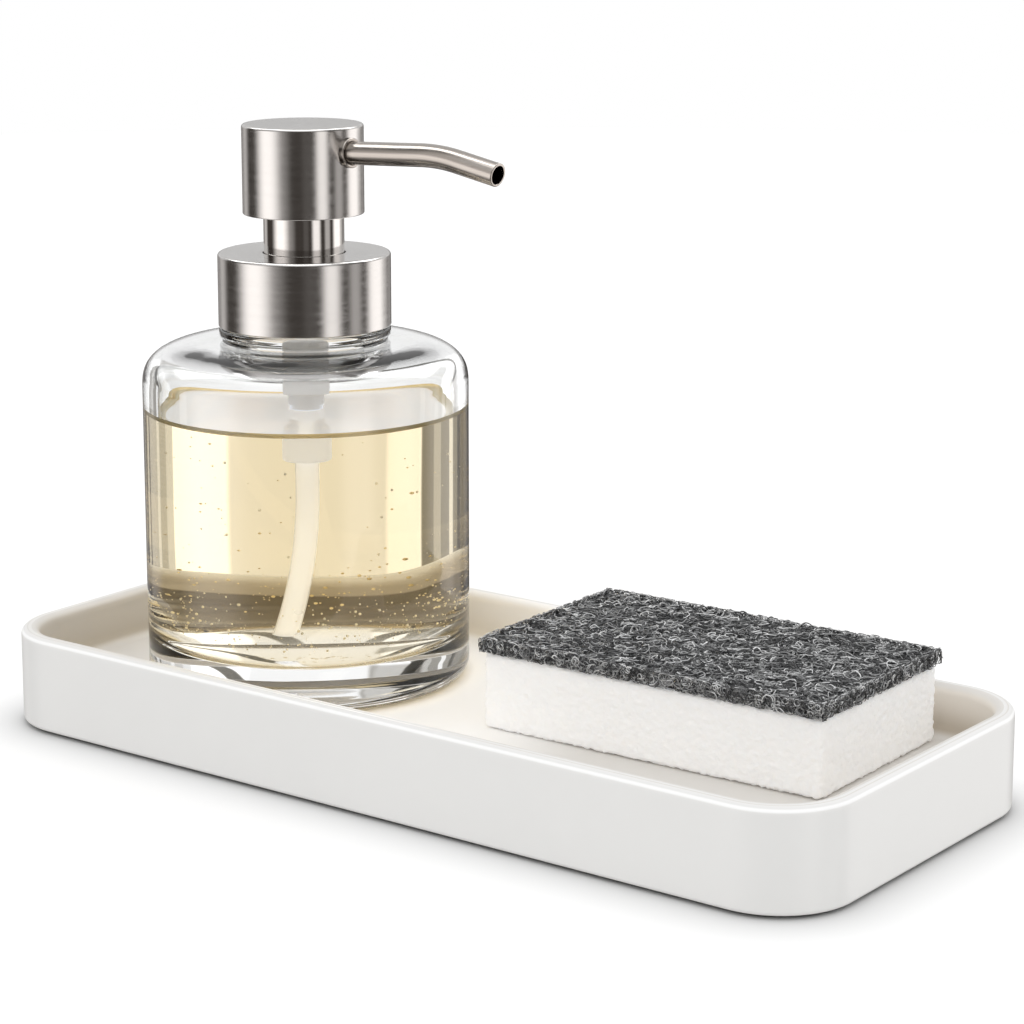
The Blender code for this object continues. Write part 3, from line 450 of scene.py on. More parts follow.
def toned(effect, shade, colour, strength, depth):
    """Two near tones, a gloss and a bump, as an effect group gives them."""
    return {
        "Base Color": mixed(effect["Tone"], shade, colour),
        "Roughness": effect["Roughness"],
        "Normal": bump(effect["Height"], strength, depth),
    }


def moulded_plastic(tree, colour, shade, roughness, scale=900.0, depth=0.00002):
    """Moulded plastic or rubber: two near tones, an orange peel and a drifting gloss."""
    skin = place_effect(tree, SKIN, scale=scale, roughness=roughness, spread=0.07)
    return toned(skin, shade, colour, 0.5, depth)


def inside_colours(tree, place, facing):
    """The tray inside, with painted shade: walls that darken toward their foot and ends, a floor darker
    toward its left and right ends, and a painted shadow behind the bottle.
    """
    rim_foot = TRAY_HIGH.z - RIM_INNER_ROUND
    # Painted shade: walls and floor drawn darker toward the tray's ends, and walls darker and warmer toward
    # their foot
    from_left = place["X"].eased(TRAY_LOW.x * 0.85, TRAY_HIGH.x * 0.05)
    rise = place["Z"].eased(FLOOR_TOP, rim_foot)
    wall = mixed(rise, mixed(from_left, *TRAY_FEET_SHADE), mixed(from_left, *TRAY_WALLS_SHADED))
    right_end = facing["X"].eased(-0.9, -0.3, 1.0, 0.0)
    right_end = right_end.math("MAXIMUM", place["X"].eased(TRAY_HIGH.x * 0.5, TRAY_HIGH.x * 0.85))
    wall = mixed(right_end, wall, mixed(rise, *TRAY_RIGHT_END_SHADE))
    # Painted shadow: seen through glass or soap, the lower wall and the floor behind the bottle are drawn
    # darker still
    low_down = (rim_foot - 1.5 * RIM_INNER_ROUND, rim_foot - 1.2 * RIM_INNER_ROUND, 1.0, 0.0)
    through = node(tree, "ShaderNodeLightPath")["Is Transmission Ray"] * place["Z"].ranged(*low_down)
    wall = mixed(through, wall, TRAY_SHADOW_BEHIND_GLASS)
    behind = place["Y"].eased(GLASS_HIGH.y * 0.40, GLASS_HIGH.y * 0.60) * through
    toward_right = place["X"].eased(0.0, TRAY_HIGH.x * 0.35)
    floor = mixed(toward_right, mixed(from_left, *TRAY_FLOORS_SHADED), TRAY_FLOOR_RIGHT_SHADE)
    floor = mixed(behind, floor, TRAY_SHADOW_BEHIND_GLASS)
    return mixed(facing["Z"].eased(*WALL_ENDS, 1.0, 0.0), floor, wall)


def tray_plastic(tree, inside):
    """Semi-gloss white. Its outer rounds carry a painted highlight, and the flat top of its rim a painted
    shade.
    """
    skin = place_effect(tree, SKIN, scale=900.0, roughness=0.36, spread=0.06)
    facing = parts_of(node(tree, "ShaderNodeNewGeometry")["Normal"])
    place = parts_of(own_place(tree))
    upward = facing["Z"]
    outward = place["Y"].times_plus(facing["Y"], place["X"] * facing["X"]).ranged(0.0, 0.002)
    above = place["Z"].ranged(TRAY_HIGH.z - RIM_INNER_ROUND * 1.1, TRAY_HIGH.z - RIM_INNER_ROUND)
    # Painted highlight: the outer round of the rim is drawn lighter than the rest
    rounds = upward.eased(*ROUND_BEGINS) * upward.eased(*ROUND_ENDS, 1.0, 0.0) * above * outward
    if inside:
        base = inside_colours(tree, place, facing)
    else:
        base = mixed(skin["Tone"], TRAY_SHADE, TRAY_COLOUR)
        # Painted shade: the flat top of the rim is drawn darker than the sides
        base = mixed(upward.eased(*TOP_BEGINS) * above, base, TRAY_TOP_SHADE)
    return {
        "Base Color": mixed(rounds, base, TRAY_ROUNDS_HIGHLIGHT),
        "Roughness": skin["Roughness"],
        "Specular IOR Level": 0.05,
        "Normal": bump(skin["Height"], 0.5, 0.000012),
        "Coat Weight": upward.eased(0.3, 0.95, 0.55, 0.0),
        "Coat Roughness": 0.27,
    }


def turned_steel(tree, tint, shade, roughness, depth=0.000012, spread=0.06, anisotropy=0.55):
    """Stainless steel brushed on a lathe."""
    lines = place_effect(tree, TURNED, axis_x=AXIS.x, density=5200.0, roughness=roughness, spread=spread)
    return {
        **toned(lines, shade, tint, 0.5, depth),
        "Metallic": 1.0,
        "Anisotropic": anisotropy,
        "Tangent": node(tree, "ShaderNodeTangent", direction_type="RADIAL", axis="Z")["Tangent"],
    }


def drawn_steel(tree, tint, shade, roughness):
    """Satin tube, with long fine scratches."""
    lines = place_effect(tree, DRAWN, roughness=roughness)
    return {**toned(lines, shade, tint, 0.4, 0.00001), "Metallic": 1.0}


def clear_glass(tree):
    """Colourless glass, with the faint waves of a pressed wall."""
    return {
        "Base Color": (0.985, 0.99, 0.99),
        "Roughness": 0.0,
        "IOR": GLASS_IOR,
        "Transmission Weight": 1.0,
        "Normal": bump(grain(tree, 60.0, 1.0), 0.25, 0.00012),
    }


def soap(tree, ior, tint=(1, 1, 1), clarity=1.0, glow=0.0):
    """Pale gold liquid. The light that crosses more of it comes out more golden. Its glow, where one is
    given, is painted light.
    """
    depth = node(tree, "ShaderNodeVolumeAbsorption", {"Color": SOAP_TINT, "Density": SOAP_DENSITY})
    feed(tree.nodes["Material Output"].inputs["Volume"], depth["Volume"])
    return {
        "Base Color": tint,
        "Roughness": 0.0,
        "IOR": ior,
        "Transmission Weight": clarity,
        "Emission Color": tint,
        "Emission Strength": glow,
        "Normal": bump(grain(tree, 90.0), 0.1, 0.0001),
    }


def milky_plastic(tree, colour, transmission, roughness, glow):
    """Natural polyethylene. Under the soap it carries a faint painted glow (emission), which stands in for
    the light that it would scatter.
    """
    skin = place_effect(tree, SKIN, scale=1200.0, roughness=roughness, spread=0.05)
    # Painted light: below the soap's level the plastic glows faintly
    in_soap = parts_of(own_place(tree))["Z"].ranged(FILL, FILL + 0.0004, 1.0, 0.0)
    return {
        **toned(skin, tuple(channel * 0.96 for channel in colour), colour, 0.3, 0.00001),
        "IOR": 1.1,
        "Transmission Weight": transmission,
        "Emission Color": mixed(in_soap, (0, 0, 0), (0.70, 0.79, 1.0)),
        "Emission Strength": glow,
    }


def foam(tree):
    """White open-cell foam: pits painted darker as shade, a mottle, real scattering below the surface and a
    faint painted glow (emission).
    """
    cells = place_effect(tree, CELLS, scale=2300.0)
    base = mixed(cells["Mottle"], (0.98, 0.972, 0.964), (0.99, 0.988, 0.982))
    return {
        # Painted shade: the pits of the cells are drawn darker
        "Base Color": mixed(cells["Pits"] * 0.30, base, (0.78, 0.755, 0.73)),
        "Roughness": 0.95,
        "Specular IOR Level": 0.2,
        "Sheen Weight": 0.5,
        # Painted light: a faint glow over the whole foam
        "Emission Color": (1.0, 0.99, 0.98),
        "Emission Strength": 0.07,
        "Subsurface Weight": 0.5,
        "Subsurface Radius": (0.003, 0.0028, 0.0026),
        "Subsurface Scale": 1.0,
        "Normal": bump(cells["Height"], 0.90, 0.00016),
    }


def scouring_fibre(tree):
    """Charcoal nylon. Each strand has its own tone, from near black to grey."""
    tone = node(tree, "ShaderNodeNewGeometry")["Random Per Island"].math("POWER", 2.7)
    grit = grain(tree, 2500.0)
    return {
        "Base Color": mixed(tone, (0.04, 0.041, 0.043), (0.92, 0.925, 0.93)),
        "Roughness": grit.ranged(*NOISE_SPAN, 0.24, 0.46),
        "Normal": bump(grit, 0.4, 0.00003),
    }


def scouring_felt(tree):
    """The felt under the strands, near black, with its gaps painted darker still as shade."""
    cells = place_effect(tree, CELLS, scale=900.0)
    return {
        # Painted shade: the felt's gaps are drawn darker
        "Base Color": mixed(cells["Pits"], (0.02, 0.02, 0.021), (0.07, 0.071, 0.073)),
        "Roughness": 0.85,
        "Normal": bump(cells["Height"], 1.0, 0.0004),
    }


def bubble_painted_glint(tree):
    """A bubble of air in the soap, drawn as an opaque pale gold speck: a painted glint."""
    colour = mixed(grain(tree, 400.0), (0.98, 0.86, 0.55), (1.0, 0.96, 0.82))
    return {"Base Color": colour, "Roughness": 0.15}


TRAY_WHITE = finish("tray_white", tray_plastic, False)
TRAY_INSIDE = finish("tray_inside", tray_plastic, True)
GLASS = finish("clear_glass", clear_glass)
# The inside of the glass where the soap touches it: the soap's own surface bends the light there
WETTED = surfaced("wetted_glass", lambda tree: node(tree, "ShaderNodeBsdfTransparent")["BSDF"])
SOAP_SIDE = finish("soap_against_glass", soap, SOAP_IOR / GLASS_IOR)
# Painted light: the soap's surface glows faintly
SOAP_TOP = finish("soap_surface", soap, SOAP_IOR, (1.0, 0.985, 0.93), 0.42, 0.14)
SOAP_RIM = finish("soap_rim", soap, SOAP_IOR, RIM_GOLD, 0.5)
# Painted glints: the bubbles are opaque pale gold specks
BUBBLE = finish("bubble_painted_glint", bubble_painted_glint)
STEEL = finish("turned_steel", turned_steel, (0.63, 0.615, 0.60), (0.56, 0.545, 0.53), 0.17)
BRIGHT_STEEL = finish(
    "bright_steel", turned_steel, (0.66, 0.64, 0.62), (0.60, 0.58, 0.56), 0.08, 0.000006, 0.03, 0.3
)
TUBE_STEEL = finish("tube_steel", drawn_steel, (0.47, 0.435, 0.40), (0.40, 0.365, 0.335), 0.17)
PUMP_WHITE = finish("pump_white", milky_plastic, (0.85, 0.86, 0.875), 0.12, 0.3, 0.34)
TUBE_MILKY = finish("tube_milky", milky_plastic, (0.98, 0.98, 0.975), 0.35, 0.3, 0.20)
FOAM = finish("white_foam", foam)
FIBRE = finish("scouring_fibre", scouring_fibre)
FELT = finish("scouring_mat", scouring_felt)
SILICONE = finish(
    "foot_silicone", moulded_plastic, (0.62, 0.62, 0.60), (0.56, 0.56, 0.54), 0.7, depth=0.00004
)
SEAL = finish("seal_foam", moulded_plastic, (0.72, 0.72, 0.70), (0.60, 0.60, 0.58), 0.85, 1600.0, 0.00008)
PISTON = finish("piston_blue", moulded_plastic, (0.25, 0.35, 0.50), (0.21, 0.30, 0.44), 0.45)
INNER_WHITE = finish("inner_white", moulded_plastic, (0.84, 0.85, 0.86), (0.79, 0.80, 0.81), 0.4)


def shares(count):
    """Even steps from nought to one."""
    return [step / count for step in range(count + 1)]


def on_circle(radius, angle, z=0.0):
    return Vector((radius * math.cos(angle), radius * math.sin(angle), z))


def radius_of(low, high):
    return (high.x - low.x) / 2


def fillet(before, corner, after, radius, steps):
    """An arc tangent to both sides of a corner, with a loop on each side that keeps the flats flat."""
    to_before = (before - corner).normalized()
    to_after = (after - corner).normalized()
    half_angle = to_before.angle(to_after) / 2
    back_off = radius / math.tan(half_angle)
    centre = corner + (to_before + to_after).normalized() * (radius / math.sin(half_angle))
    first = corner + to_before * back_off - centre
    last = corner + to_after * back_off - centre
    sweep = first.angle_signed(last)
    arc = [centre + Matrix.Rotation(-sweep * share, 2) @ first for share in shares(steps)]
    return [centre + first + to_before * SUPPORT, *arc, centre + last + to_after * SUPPORT]


def rounded(corners, closed=False, steps=8):
    """An outline from corners, each (across, up) or (across, up, radius)."""
    points = [Vector(corner[:2]) for corner in corners]
    outline = []
    for index, corner in enumerate(corners):
        at_end = not closed and index in (0, len(corners) - 1)
        if len(corner) == 2 or at_end:
            outline.append(points[index])
            continue
        after = points[(index + 1) % len(points)]
        outline += fillet(points[index - 1], points[index], after, corner[2], steps)
    return outline


def banded(rings, closed=False):
    """Faces between each ring of points and the next, and from the last to the first if closed."""
    faces = []
    followers = rings[1:] + rings[:1] if closed else rings[1:]
    for upper, lower in zip(rings, followers):
        for step, corner in enumerate(upper):
            ahead = (step + 1) % len(upper)
            faces.append(tuple(dict.fromkeys((corner, lower[step], lower[ahead], upper[ahead]))))
    return faces


def new_mesh(name, places, faces):
    mesh = bpy.data.meshes.new(name)
    mesh.from_pydata(places, [], faces)
    return mesh


def smooth(mesh):
    mesh.shade_smooth()
    mesh.set_sharp_from_angle(angle=SHARP)
    return mesh


def placed(name, data):
    piece = bpy.data.objects.new(name, data)
    bpy.context.scene.collection.objects.link(piece)
    return piece


def add_piece(name, mesh, body, slot, materials, *nodes):
    """A visible piece on its body, with its finishes, in place of the nodes that it stands for."""
    piece = placed(name, mesh)
    for material in materials:
        mesh.materials.append(material)
    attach(piece, body)
    if nodes:
        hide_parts(*nodes)
    return piece


def turned(name, outline, closed=True, steps=AROUND_BOTTLE, slot_of=None, place=Matrix.Translation(AXIS)):
    """A turned mesh round the upright axis of a place. Its outline runs down the outer side."""
    places = []
    rings = []
    for radius, z in outline:
        if radius < WELD:
            rings.append([len(places)] * steps)
            places.append(Vector((0, 0, z)))
            continue
        rings.append(list(range(len(places), len(places) + steps)))
        places += [on_circle(radius, math.tau * step / steps, z) for step in range(steps)]
    faces = banded(rings, closed)
    mesh = new_mesh(name, [place @ point for point in places], faces)
    if slot_of:
        middles = [(first + second) / 2 for first, second in zip(outline, outline[1:])]
        slots = [slot_of(*middle) for middle in middles for step in range(steps)]
        mesh.polygons.foreach_set("material_index", slots)
    return smooth(mesh)


def add_turned(name, corners, body, slot, material, node_name, closed=True, steps=AROUND_BOTTLE):
    mesh = turned(name, rounded(corners, closed), closed, steps)
    add_piece(name, mesh, body, slot, [material], node_name)


def swept(name, section, sides, across_of, closed=True, frame_of=Matrix.Identity(4)):
    """A mesh of rings, each (place, direction, radius). across_of gives a ring's first side."""
    places = []
    rings = []
    for place, ahead, radius in section:
        across = across_of(place, ahead)
        above = ahead.cross(across)
        rings.append(list(range(len(places), len(places) + sides)))
        for step in range(sides):
            angle = math.tau * step / sides
            offset = (across * math.cos(angle) + above * math.sin(angle)) * radius
            places.append(frame_of @ (place + offset))
    faces = banded(rings, closed)
    if not closed:
        faces += [rings[0], rings[-1][::-1]]
    return smooth(new_mesh(name, places, faces))


def upright(place, ahead):
    """The first side of a ring on a route in the plane y = 0."""
    return Vector((-ahead.z, 0, ahead.x))


def off_axis(place, ahead):
    """The first side of a ring on a coil round the axis."""
    return Vector((place.x - AXIS.x, place.y - AXIS.y, 0)).normalized()


def headed(route):
    """Each point of a route with the route's direction there."""
    ends = zip([route[0], *route], [*route[1:], route[-1]])
    return [(place, (after - before).normalized()) for place, (before, after) in zip(route, ends)]


def rounded_rectangle(half_length, half_width, radius, z, steps):
    points = []
    for index, (side_x, side_y) in enumerate(((1, 1), (-1, 1), (-1, -1), (1, -1))):
        centre = Vector((side_x * (half_length - radius), side_y * (half_width - radius), z))
        points += [centre + on_circle(radius, math.pi / 2 * (index + share)) for share in shares(steps)]
    return points


def lofted(name, section, half_length, half_width, corner_radius, steps=24):
    """A body whose section (inset, z) runs round a rectangle with round corners."""
    places = []
    rings = []
    for inset, z in section:
        size = (half_length - inset, half_width - inset, corner_radius - inset)
        ring = rounded_rectangle(*size, z, steps)
        rings.append(list(range(len(places), len(places) + len(ring))))
        places += ring
    return new_mesh(name, places, [*banded(rings[::-1]), rings[0][::-1], rings[-1]])


def box_mesh(name, size, centre):
    corners = [Vector(centre) + Vector(size) * Vector(side) / 2 for side in product((-1, 1), repeat=3)]
    faces = [(0, 1, 3, 2), (4, 6, 7, 5), (0, 4, 5, 1), (2, 3, 7, 6), (0, 2, 6, 4), (1, 5, 7, 3)]
    return new_mesh(name, corners, faces)


def combined(mesh, others):
    """The mesh joined with others, or cut by them, given as (mesh, operation) pairs."""
    piece = placed(mesh.name, mesh)
    helpers = []
    for other, operation in others:
        helper = placed(other.name, other)
        helpers.append(helper)
        boolean = piece.modifiers.new(other.name, "BOOLEAN")
        boolean.operation = operation
        boolean.object = helper
    bpy.context.view_layer.update()
    graph = bpy.context.evaluated_depsgraph_get()
    result = bpy.data.meshes.new_from_object(piece.evaluated_get(graph))
    for helper in [piece, *helpers]:
        bpy.data.objects.remove(helper, do_unlink=True)
    return result


def make_tray():
    """The moulding, with the ribs and foot bosses that its underside shows."""
    middle = SKIRT + UNDERSIDE_FILLET + RIM_WIDTH
    foot = TRAY_LOW.z
    top = TRAY_HIGH.z
    section = [
        (middle, FLOOR_UNDERSIDE),
        (SKIRT, FLOOR_UNDERSIDE, UNDERSIDE_FILLET),
        (SKIRT, foot, SKIRT_INNER_ROUND),
        (0, foot, SKIRT_OUTER_ROUND),
        (0, top, RIM_OUTER_ROUND),
        (RIM_WIDTH, top, RIM_INNER_ROUND),
        (RIM_WIDTH, FLOOR_TOP, FLOOR_FILLET),
        (middle, FLOOR_TOP),
    ]
    tray = lofted("tray_moulding", rounded(section), TRAY_HIGH.x, TRAY_HIGH.y, TRAY_CORNER)
    root = (FLOOR_UNDERSIDE + FLOOR_TOP) / 2
    rib_height = root - RIB_FOOT
    rib_z = (root + RIB_FOOT) / 2
    long_rib = (2 * TRAY_HIGH.x - SKIRT, RIB_THICKNESS, rib_height)
    cross_rib = (RIB_THICKNESS, 2 * TRAY_HIGH.y - SKIRT, rib_height)
    additions = [(box_mesh("long_rib", long_rib, (0, 0, rib_z)), "UNION")]
    for number, share in enumerate(CROSS_RIB_SHARES):
        centre = (share * 2 * TRAY_HIGH.x, 0, rib_z)
        additions.append((box_mesh(f"cross_rib_{number}", cross_rib, centre), "UNION"))
    for kind, radius, high, low, operation in (
        ("boss", BOSS_RADIUS, root, BOSS_FOOT, "UNION"),
        ("recess", RECESS_RADIUS, RECESS_TOP, 0, "DIFFERENCE"),
    ):
        outline = rounded([(0, high), (radius, high), (radius, low), (0, low)])
        for number, (x, y) in enumerate(product((-1, 1), repeat=2)):
            place = Matrix.Translation((x * (TRAY_HIGH.x - BOSS_INSET), y * (TRAY_HIGH.y - BOSS_INSET), 0))
            disc = turned(f"{kind}_{number}", outline, False, AROUND_BOSS, place=place)
            additions.append((disc, operation))
    mesh = smooth(combined(tray, additions))
    for polygon in mesh.polygons:
        place = polygon.center
        inward = place.x * polygon.normal.x + place.y * polygon.normal.y < 0
        within = place.z > FLOOR_TOP - WELD and (inward or polygon.normal.z > LYING)
        polygon.material_index = 1 if within and place.z < TRAY_HIGH.z - WELD else 0
    add_piece("tray_moulding", mesh, "tray", "tray", [TRAY_WHITE, TRAY_INSIDE], "tray_shell")


def domed_floor(inner, floor):
    """The rise in the middle of the glass's inner floor, from the axis outwards."""
    reach = inner - BOWL_ROUND
    return [Vector((reach * share, floor + FLOOR_DOME * (1 - share**2) ** 2)) for share in shares(12)[:-1]]


def shoulder(root, outer, top, fall, fullness):
    """The shoulder's curve from the neck out to the wall, with no flat in it."""
    points = []
    for share in shares(24):
        angle = math.pi / 2 * share
        across = math.sin(angle) ** (2 / fullness)
        drop = 1 - math.cos(angle) ** (2 / fullness)
        points.append(Vector((root + (outer - root) * across, top - fall * drop)))
    return points


def make_bottle(outer, inner, floor):
    """Clear glass with a heavy base. Its second finish lies where the soap wets the inside."""
    foot = GLASS_LOW.z
    lip = GLASS_HIGH.z
    outer_top = SHOULDER_TOP + SHOULDER_CROWN
    inner_top = outer_top - GLASS_WALL
    outer_fall = SHOULDER_ROUND + SHOULDER_CROWN
    bead_foot = outer_top + BEAD_LIFT
    bead_top = bead_foot + BEAD_HEIGHT
    under = shoulder(NECK_BORE, inner, inner_top, outer_fall - GLASS_WALL, INNER_FULLNESS)[::-1]
    over = shoulder(NECK_ROOT, outer, outer_top, outer_fall, SHOULDER_FULLNESS)
    corners = [
        (inner - BOWL_END, floor),
        (inner, floor, BOWL_ROUND),
        (inner, WET_LINE),
        *under[:-1],
        (NECK_BORE, inner_top, GLASS_WALL / 2),
        (NECK_BORE, lip, LIP_ROUND),
        (NECK_RADIUS, lip, LIP_ROUND),
        (NECK_RADIUS, bead_top),
        (BEAD_RADIUS, bead_top, BEAD_ROUND),
        (BEAD_RADIUS, bead_foot, BEAD_ROUND),
        (NECK_ROOT, bead_foot),
        (NECK_ROOT, outer_top, BEAD_LIFT / 2),
        *over[1:],
        (outer, foot, HEEL_ROUND),
        (PUNT_RADIUS, foot),
    ]
    outline = domed_floor(inner, floor) + rounded(corners, steps=12)
    for share in shares(16)[-2::-1]:
        outline.append(Vector((PUNT_RADIUS * share, foot + PUNT_DEPTH * (1 - share**4))))

    def slot_of(radius, z):
        return 1 if floor - WELD < z < WET_LINE and radius < inner + WELD else 0

    mesh = turned("bottle_body", outline, False, slot_of=slot_of)
    add_piece("bottle_body", mesh, "bottle", "glass", [GLASS, WETTED], "bottle_glass")


def make_soap(inner, floor):
    """The filling. It reaches a hair into the glass, so that light meets one surface and no air."""
    reach = inner + WETTING
    outline = [Vector((0, FILL))]
    for share in shares(14)[:-1]:
        radius = inner - MENISCUS_REACH * (1 - share)
        outline.append(Vector((radius, FILL + MENISCUS_RISE * share**MENISCUS_POWER)))
    corners = [(reach, WET_LINE), (reach, floor - WETTING, BOWL_ROUND), (inner - BOWL_END, floor - WETTING)]
    outline += rounded(corners, steps=12)
    outline += [point - Vector((0, WETTING)) for point in domed_floor(inner, floor)[::-1]]

    def slot_of(radius, z):
        if z < FILL - WELD or radius > inner:
            return 0
        return 1 if radius < inner - MENISCUS_REACH else 2

    mesh = turned("soap_filling", outline, False, slot_of=slot_of)
    add_piece("soap_filling", mesh, "bottle", "soap", [SOAP_SIDE, SOAP_TOP, SOAP_RIM], "liquid_soap")


def make_bubbles(inner, floor):
    """Small bubbles of air, most of them in the lowest part of the soap."""
    chance = random.Random(BUBBLE_SEED)
    ball = []
    for down in shares(BUBBLE_ROWS):
        polar = math.pi * down
        for side in range(BUBBLE_SIDES):
            ball.append(on_circle(math.sin(polar), math.tau * side / BUBBLE_SIDES, math.cos(polar)))
    places = []
    faces = []
    for _ in range(BUBBLES):
        low_down = chance.random() < LOW_BUBBLES
        height = chance.betavariate(1.3, 2.0) * LOW_REACH if low_down else chance.random() * HIGH_REACH
        z = floor + BUBBLE_LIFT + height
        radius = (inner - BUBBLE_INSET) * math.sqrt(chance.uniform(*BUBBLE_OUTWARD))
        if low_down and z < floor + BOWL_ROUND:
            radius = min(radius, inner - BOWL_ROUND)
        centre = AXIS + on_circle(radius, chance.uniform(0, math.tau), z)
        size = chance.choice(BUBBLE_SIZES)
        starts = [len(places) + row * BUBBLE_SIDES for row in range(BUBBLE_ROWS + 1)]
        faces += banded([range(start, start + BUBBLE_SIDES) for start in starts])
        places += [centre + point * size for point in ball]
    mesh = new_mesh("soap_bubbles", places, faces)
    mesh.validate()
    mesh.shade_smooth()
    add_piece("soap_bubbles", mesh, "bottle", "soap", [BUBBLE])


def make_metal():
    """The steel cups and the sleeve between them."""
    radius = radius_of(COLLAR_LOW, COLLAR_HIGH)
    sleeve = radius_of(SLEEVE_LOW, SLEEVE_HIGH)
    inner = radius - METAL_WALL
    top = COLLAR_HIGH.z
    collar = [
        (radius, top, COLLAR_TOP_ROUND),
        (radius, COLLAR_LOW.z, COLLAR_FOOT_ROUND),
        (inner, COLLAR_LOW.z),
        (inner, top - METAL_WALL),
        (sleeve + GAP, top - METAL_WALL),
        (sleeve + GAP, top, METAL_WALL / 3),
    ]
    add_turned("collar_cup", collar, "closure", "brushed_steel", STEEL, "collar_shell")
    inner = sleeve - SLEEVE_WALL
    top = SLEEVE_HIGH.z
    corners = [
        (sleeve, top, SLEEVE_WALL / 2),
        (sleeve, SLEEVE_LOW.z),
        (inner, SLEEVE_LOW.z),
        (inner, top - SLEEVE_WALL),
        (SLEEVE_BORE, top - SLEEVE_WALL),
        (SLEEVE_BORE, top),
    ]
    add_turned("pump_sleeve", corners, "pump", "polished_steel", BRIGHT_STEEL, "neck_sleeve")
    radius = radius_of(HEAD_LOW, HEAD_HIGH)
    inner = radius - METAL_WALL
    top = HEAD_HIGH.z
    head = [
        (0, top),
        (radius, top, HEAD_TOP_ROUND),
        (radius, HEAD_LOW.z, HEAD_FOOT_ROUND),
        (inner, HEAD_LOW.z),
        (inner, top - METAL_WALL),
        (0, top - METAL_WALL),
    ]
    add_turned("head_cup", head, "head", "brushed_steel", STEEL, "head_shell", False)


def spout_stations():
    """Points and directions along the spout's axis, in its own frame."""
    forward = Vector((1, 0, 0))
    stations = [(forward * SPOUT_ROOT, forward), (forward * (SPOUT_STRAIGHT - SUPPORT), forward)]
    for share in shares(16):
        angle = SPOUT_BEND * share
        ahead = Vector((math.cos(angle), 0, -math.sin(angle)))
        bent = Vector((math.sin(angle), 0, math.cos(angle) - 1))
        stations.append((forward * SPOUT_STRAIGHT + bent * SPOUT_BEND_RADIUS, ahead))
    place, ahead = stations[-1]
    for further in (SUPPORT, SPOUT_TIP - SPOUT_TIP_ROUND):
        stations.append((place + ahead * further, ahead))
    return stations


def make_spout():
    """The bent tube with its open bore, and the ring at its root."""
    head_radius = radius_of(HEAD_LOW, HEAD_HIGH)
    root_z = HEAD_HIGH.z - SPOUT_DROP - head_radius * math.tan(SPOUT_RISE)
    frame_of = Matrix.Translation((AXIS.x, 0, root_z)) @ Matrix.Rotation(-SPOUT_RISE, 4, "Y")
    stations = spout_stations()
    section = [(place, ahead, SPOUT_RADIUS) for place, ahead in stations]
    place, ahead = stations[-1]
    for share in shares(4)[1:]:
        angle = math.pi / 2 * share
        radius = SPOUT_RADIUS - SPOUT_TIP_ROUND * (1 - math.cos(angle))
        section.append((place + ahead * SPOUT_TIP_ROUND * math.sin(angle), ahead, radius))
    section.append((place + ahead * SPOUT_TIP_ROUND, ahead, SPOUT_BORE + SUPPORT))
    section.append((place + ahead * (SPOUT_TIP_ROUND - SUPPORT), ahead, SPOUT_BORE))
    section += [(place, ahead, SPOUT_BORE) for place, ahead in stations[::-1]]
    mesh = swept("spout_pipe", section, AROUND_SPOUT, upright, frame_of=frame_of)
    add_piece("spout_pipe", mesh, "head", "spout_steel", [TUBE_STEEL], "spout_tube")

    inner = SPOUT_RADIUS + GAP / 3
    outer = SPOUT_RADIUS + GAP + RING_WALL
    corners = [
        (outer, RING_PROUD, RING_WALL / 2),
        (outer, -METAL_WALL),
        (inner, -METAL_WALL),
        (inner, RING_PROUD, RING_WALL / 4),
    ]
    outward = frame_of @ Matrix.Translation((head_radius, 0, 0)) @ Matrix.Rotation(math.pi / 2, 4, "Y")
    mesh = turned("spout_collar", rounded(corners, True), steps=AROUND_RING, place=outward)
    add_piece("spout_collar", mesh, "head", "spout_steel", [TUBE_STEEL], "spout_ring")


def make_barrel():
    """The pump's body, which hangs in the neck: clamped flange, barrel and tail."""
    top = BARREL_HIGH.z
    foot = BARREL_LOW.z
    socket = TUBE_RADIUS + GAP / 2
    corners = [
        (0, top),
        (FLANGE_RADIUS, top, GAP),
        (FLANGE_RADIUS, FLANGE_FOOT, GAP),
        (BARREL_RADIUS, FLANGE_FOOT),
        (BARREL_RADIUS, BARREL_FOOT, BARREL_ROUND),
        (TAIL_RADIUS, BARREL_FOOT),
        (TAIL_RADIUS, foot, BARREL_ROUND),
        (socket, foot),
        (socket, foot + BARREL_ROUND),
        (0, foot + BARREL_ROUND),
    ]
    add_turned(
        "pump_barrel", corners, "pump", "pump_plastic", PUMP_WHITE, "pump_housing", False, AROUND_BARREL
    )


def make_tube():
    """The dip tube, straight out of its socket and then swinging to the left."""
    bend_top = BARREL_LOW.z - TUBE_STRAIGHT
    fall = TUBE_LOW.z + TUBE_LIFT - bend_top
    route = [Vector((0, 0, BARREL_LOW.z + BARREL_ROUND / 2))]
    route += [Vector((-TUBE_SWING * share**2, 0, bend_top + fall * share)) for share in shares(24)]
    stations = headed(route)
    section = [(place, ahead, TUBE_RADIUS) for place, ahead in stations]
    section += [(place, ahead, TUBE_BORE) for place, ahead in stations[::-1]]
    mesh = swept("tube_pipe", section, AROUND_TUBE, upright, frame_of=Matrix.Translation(AXIS))
    add_piece("tube_pipe", mesh, "pump", "tube_plastic", [TUBE_MILKY], "dip_tube")


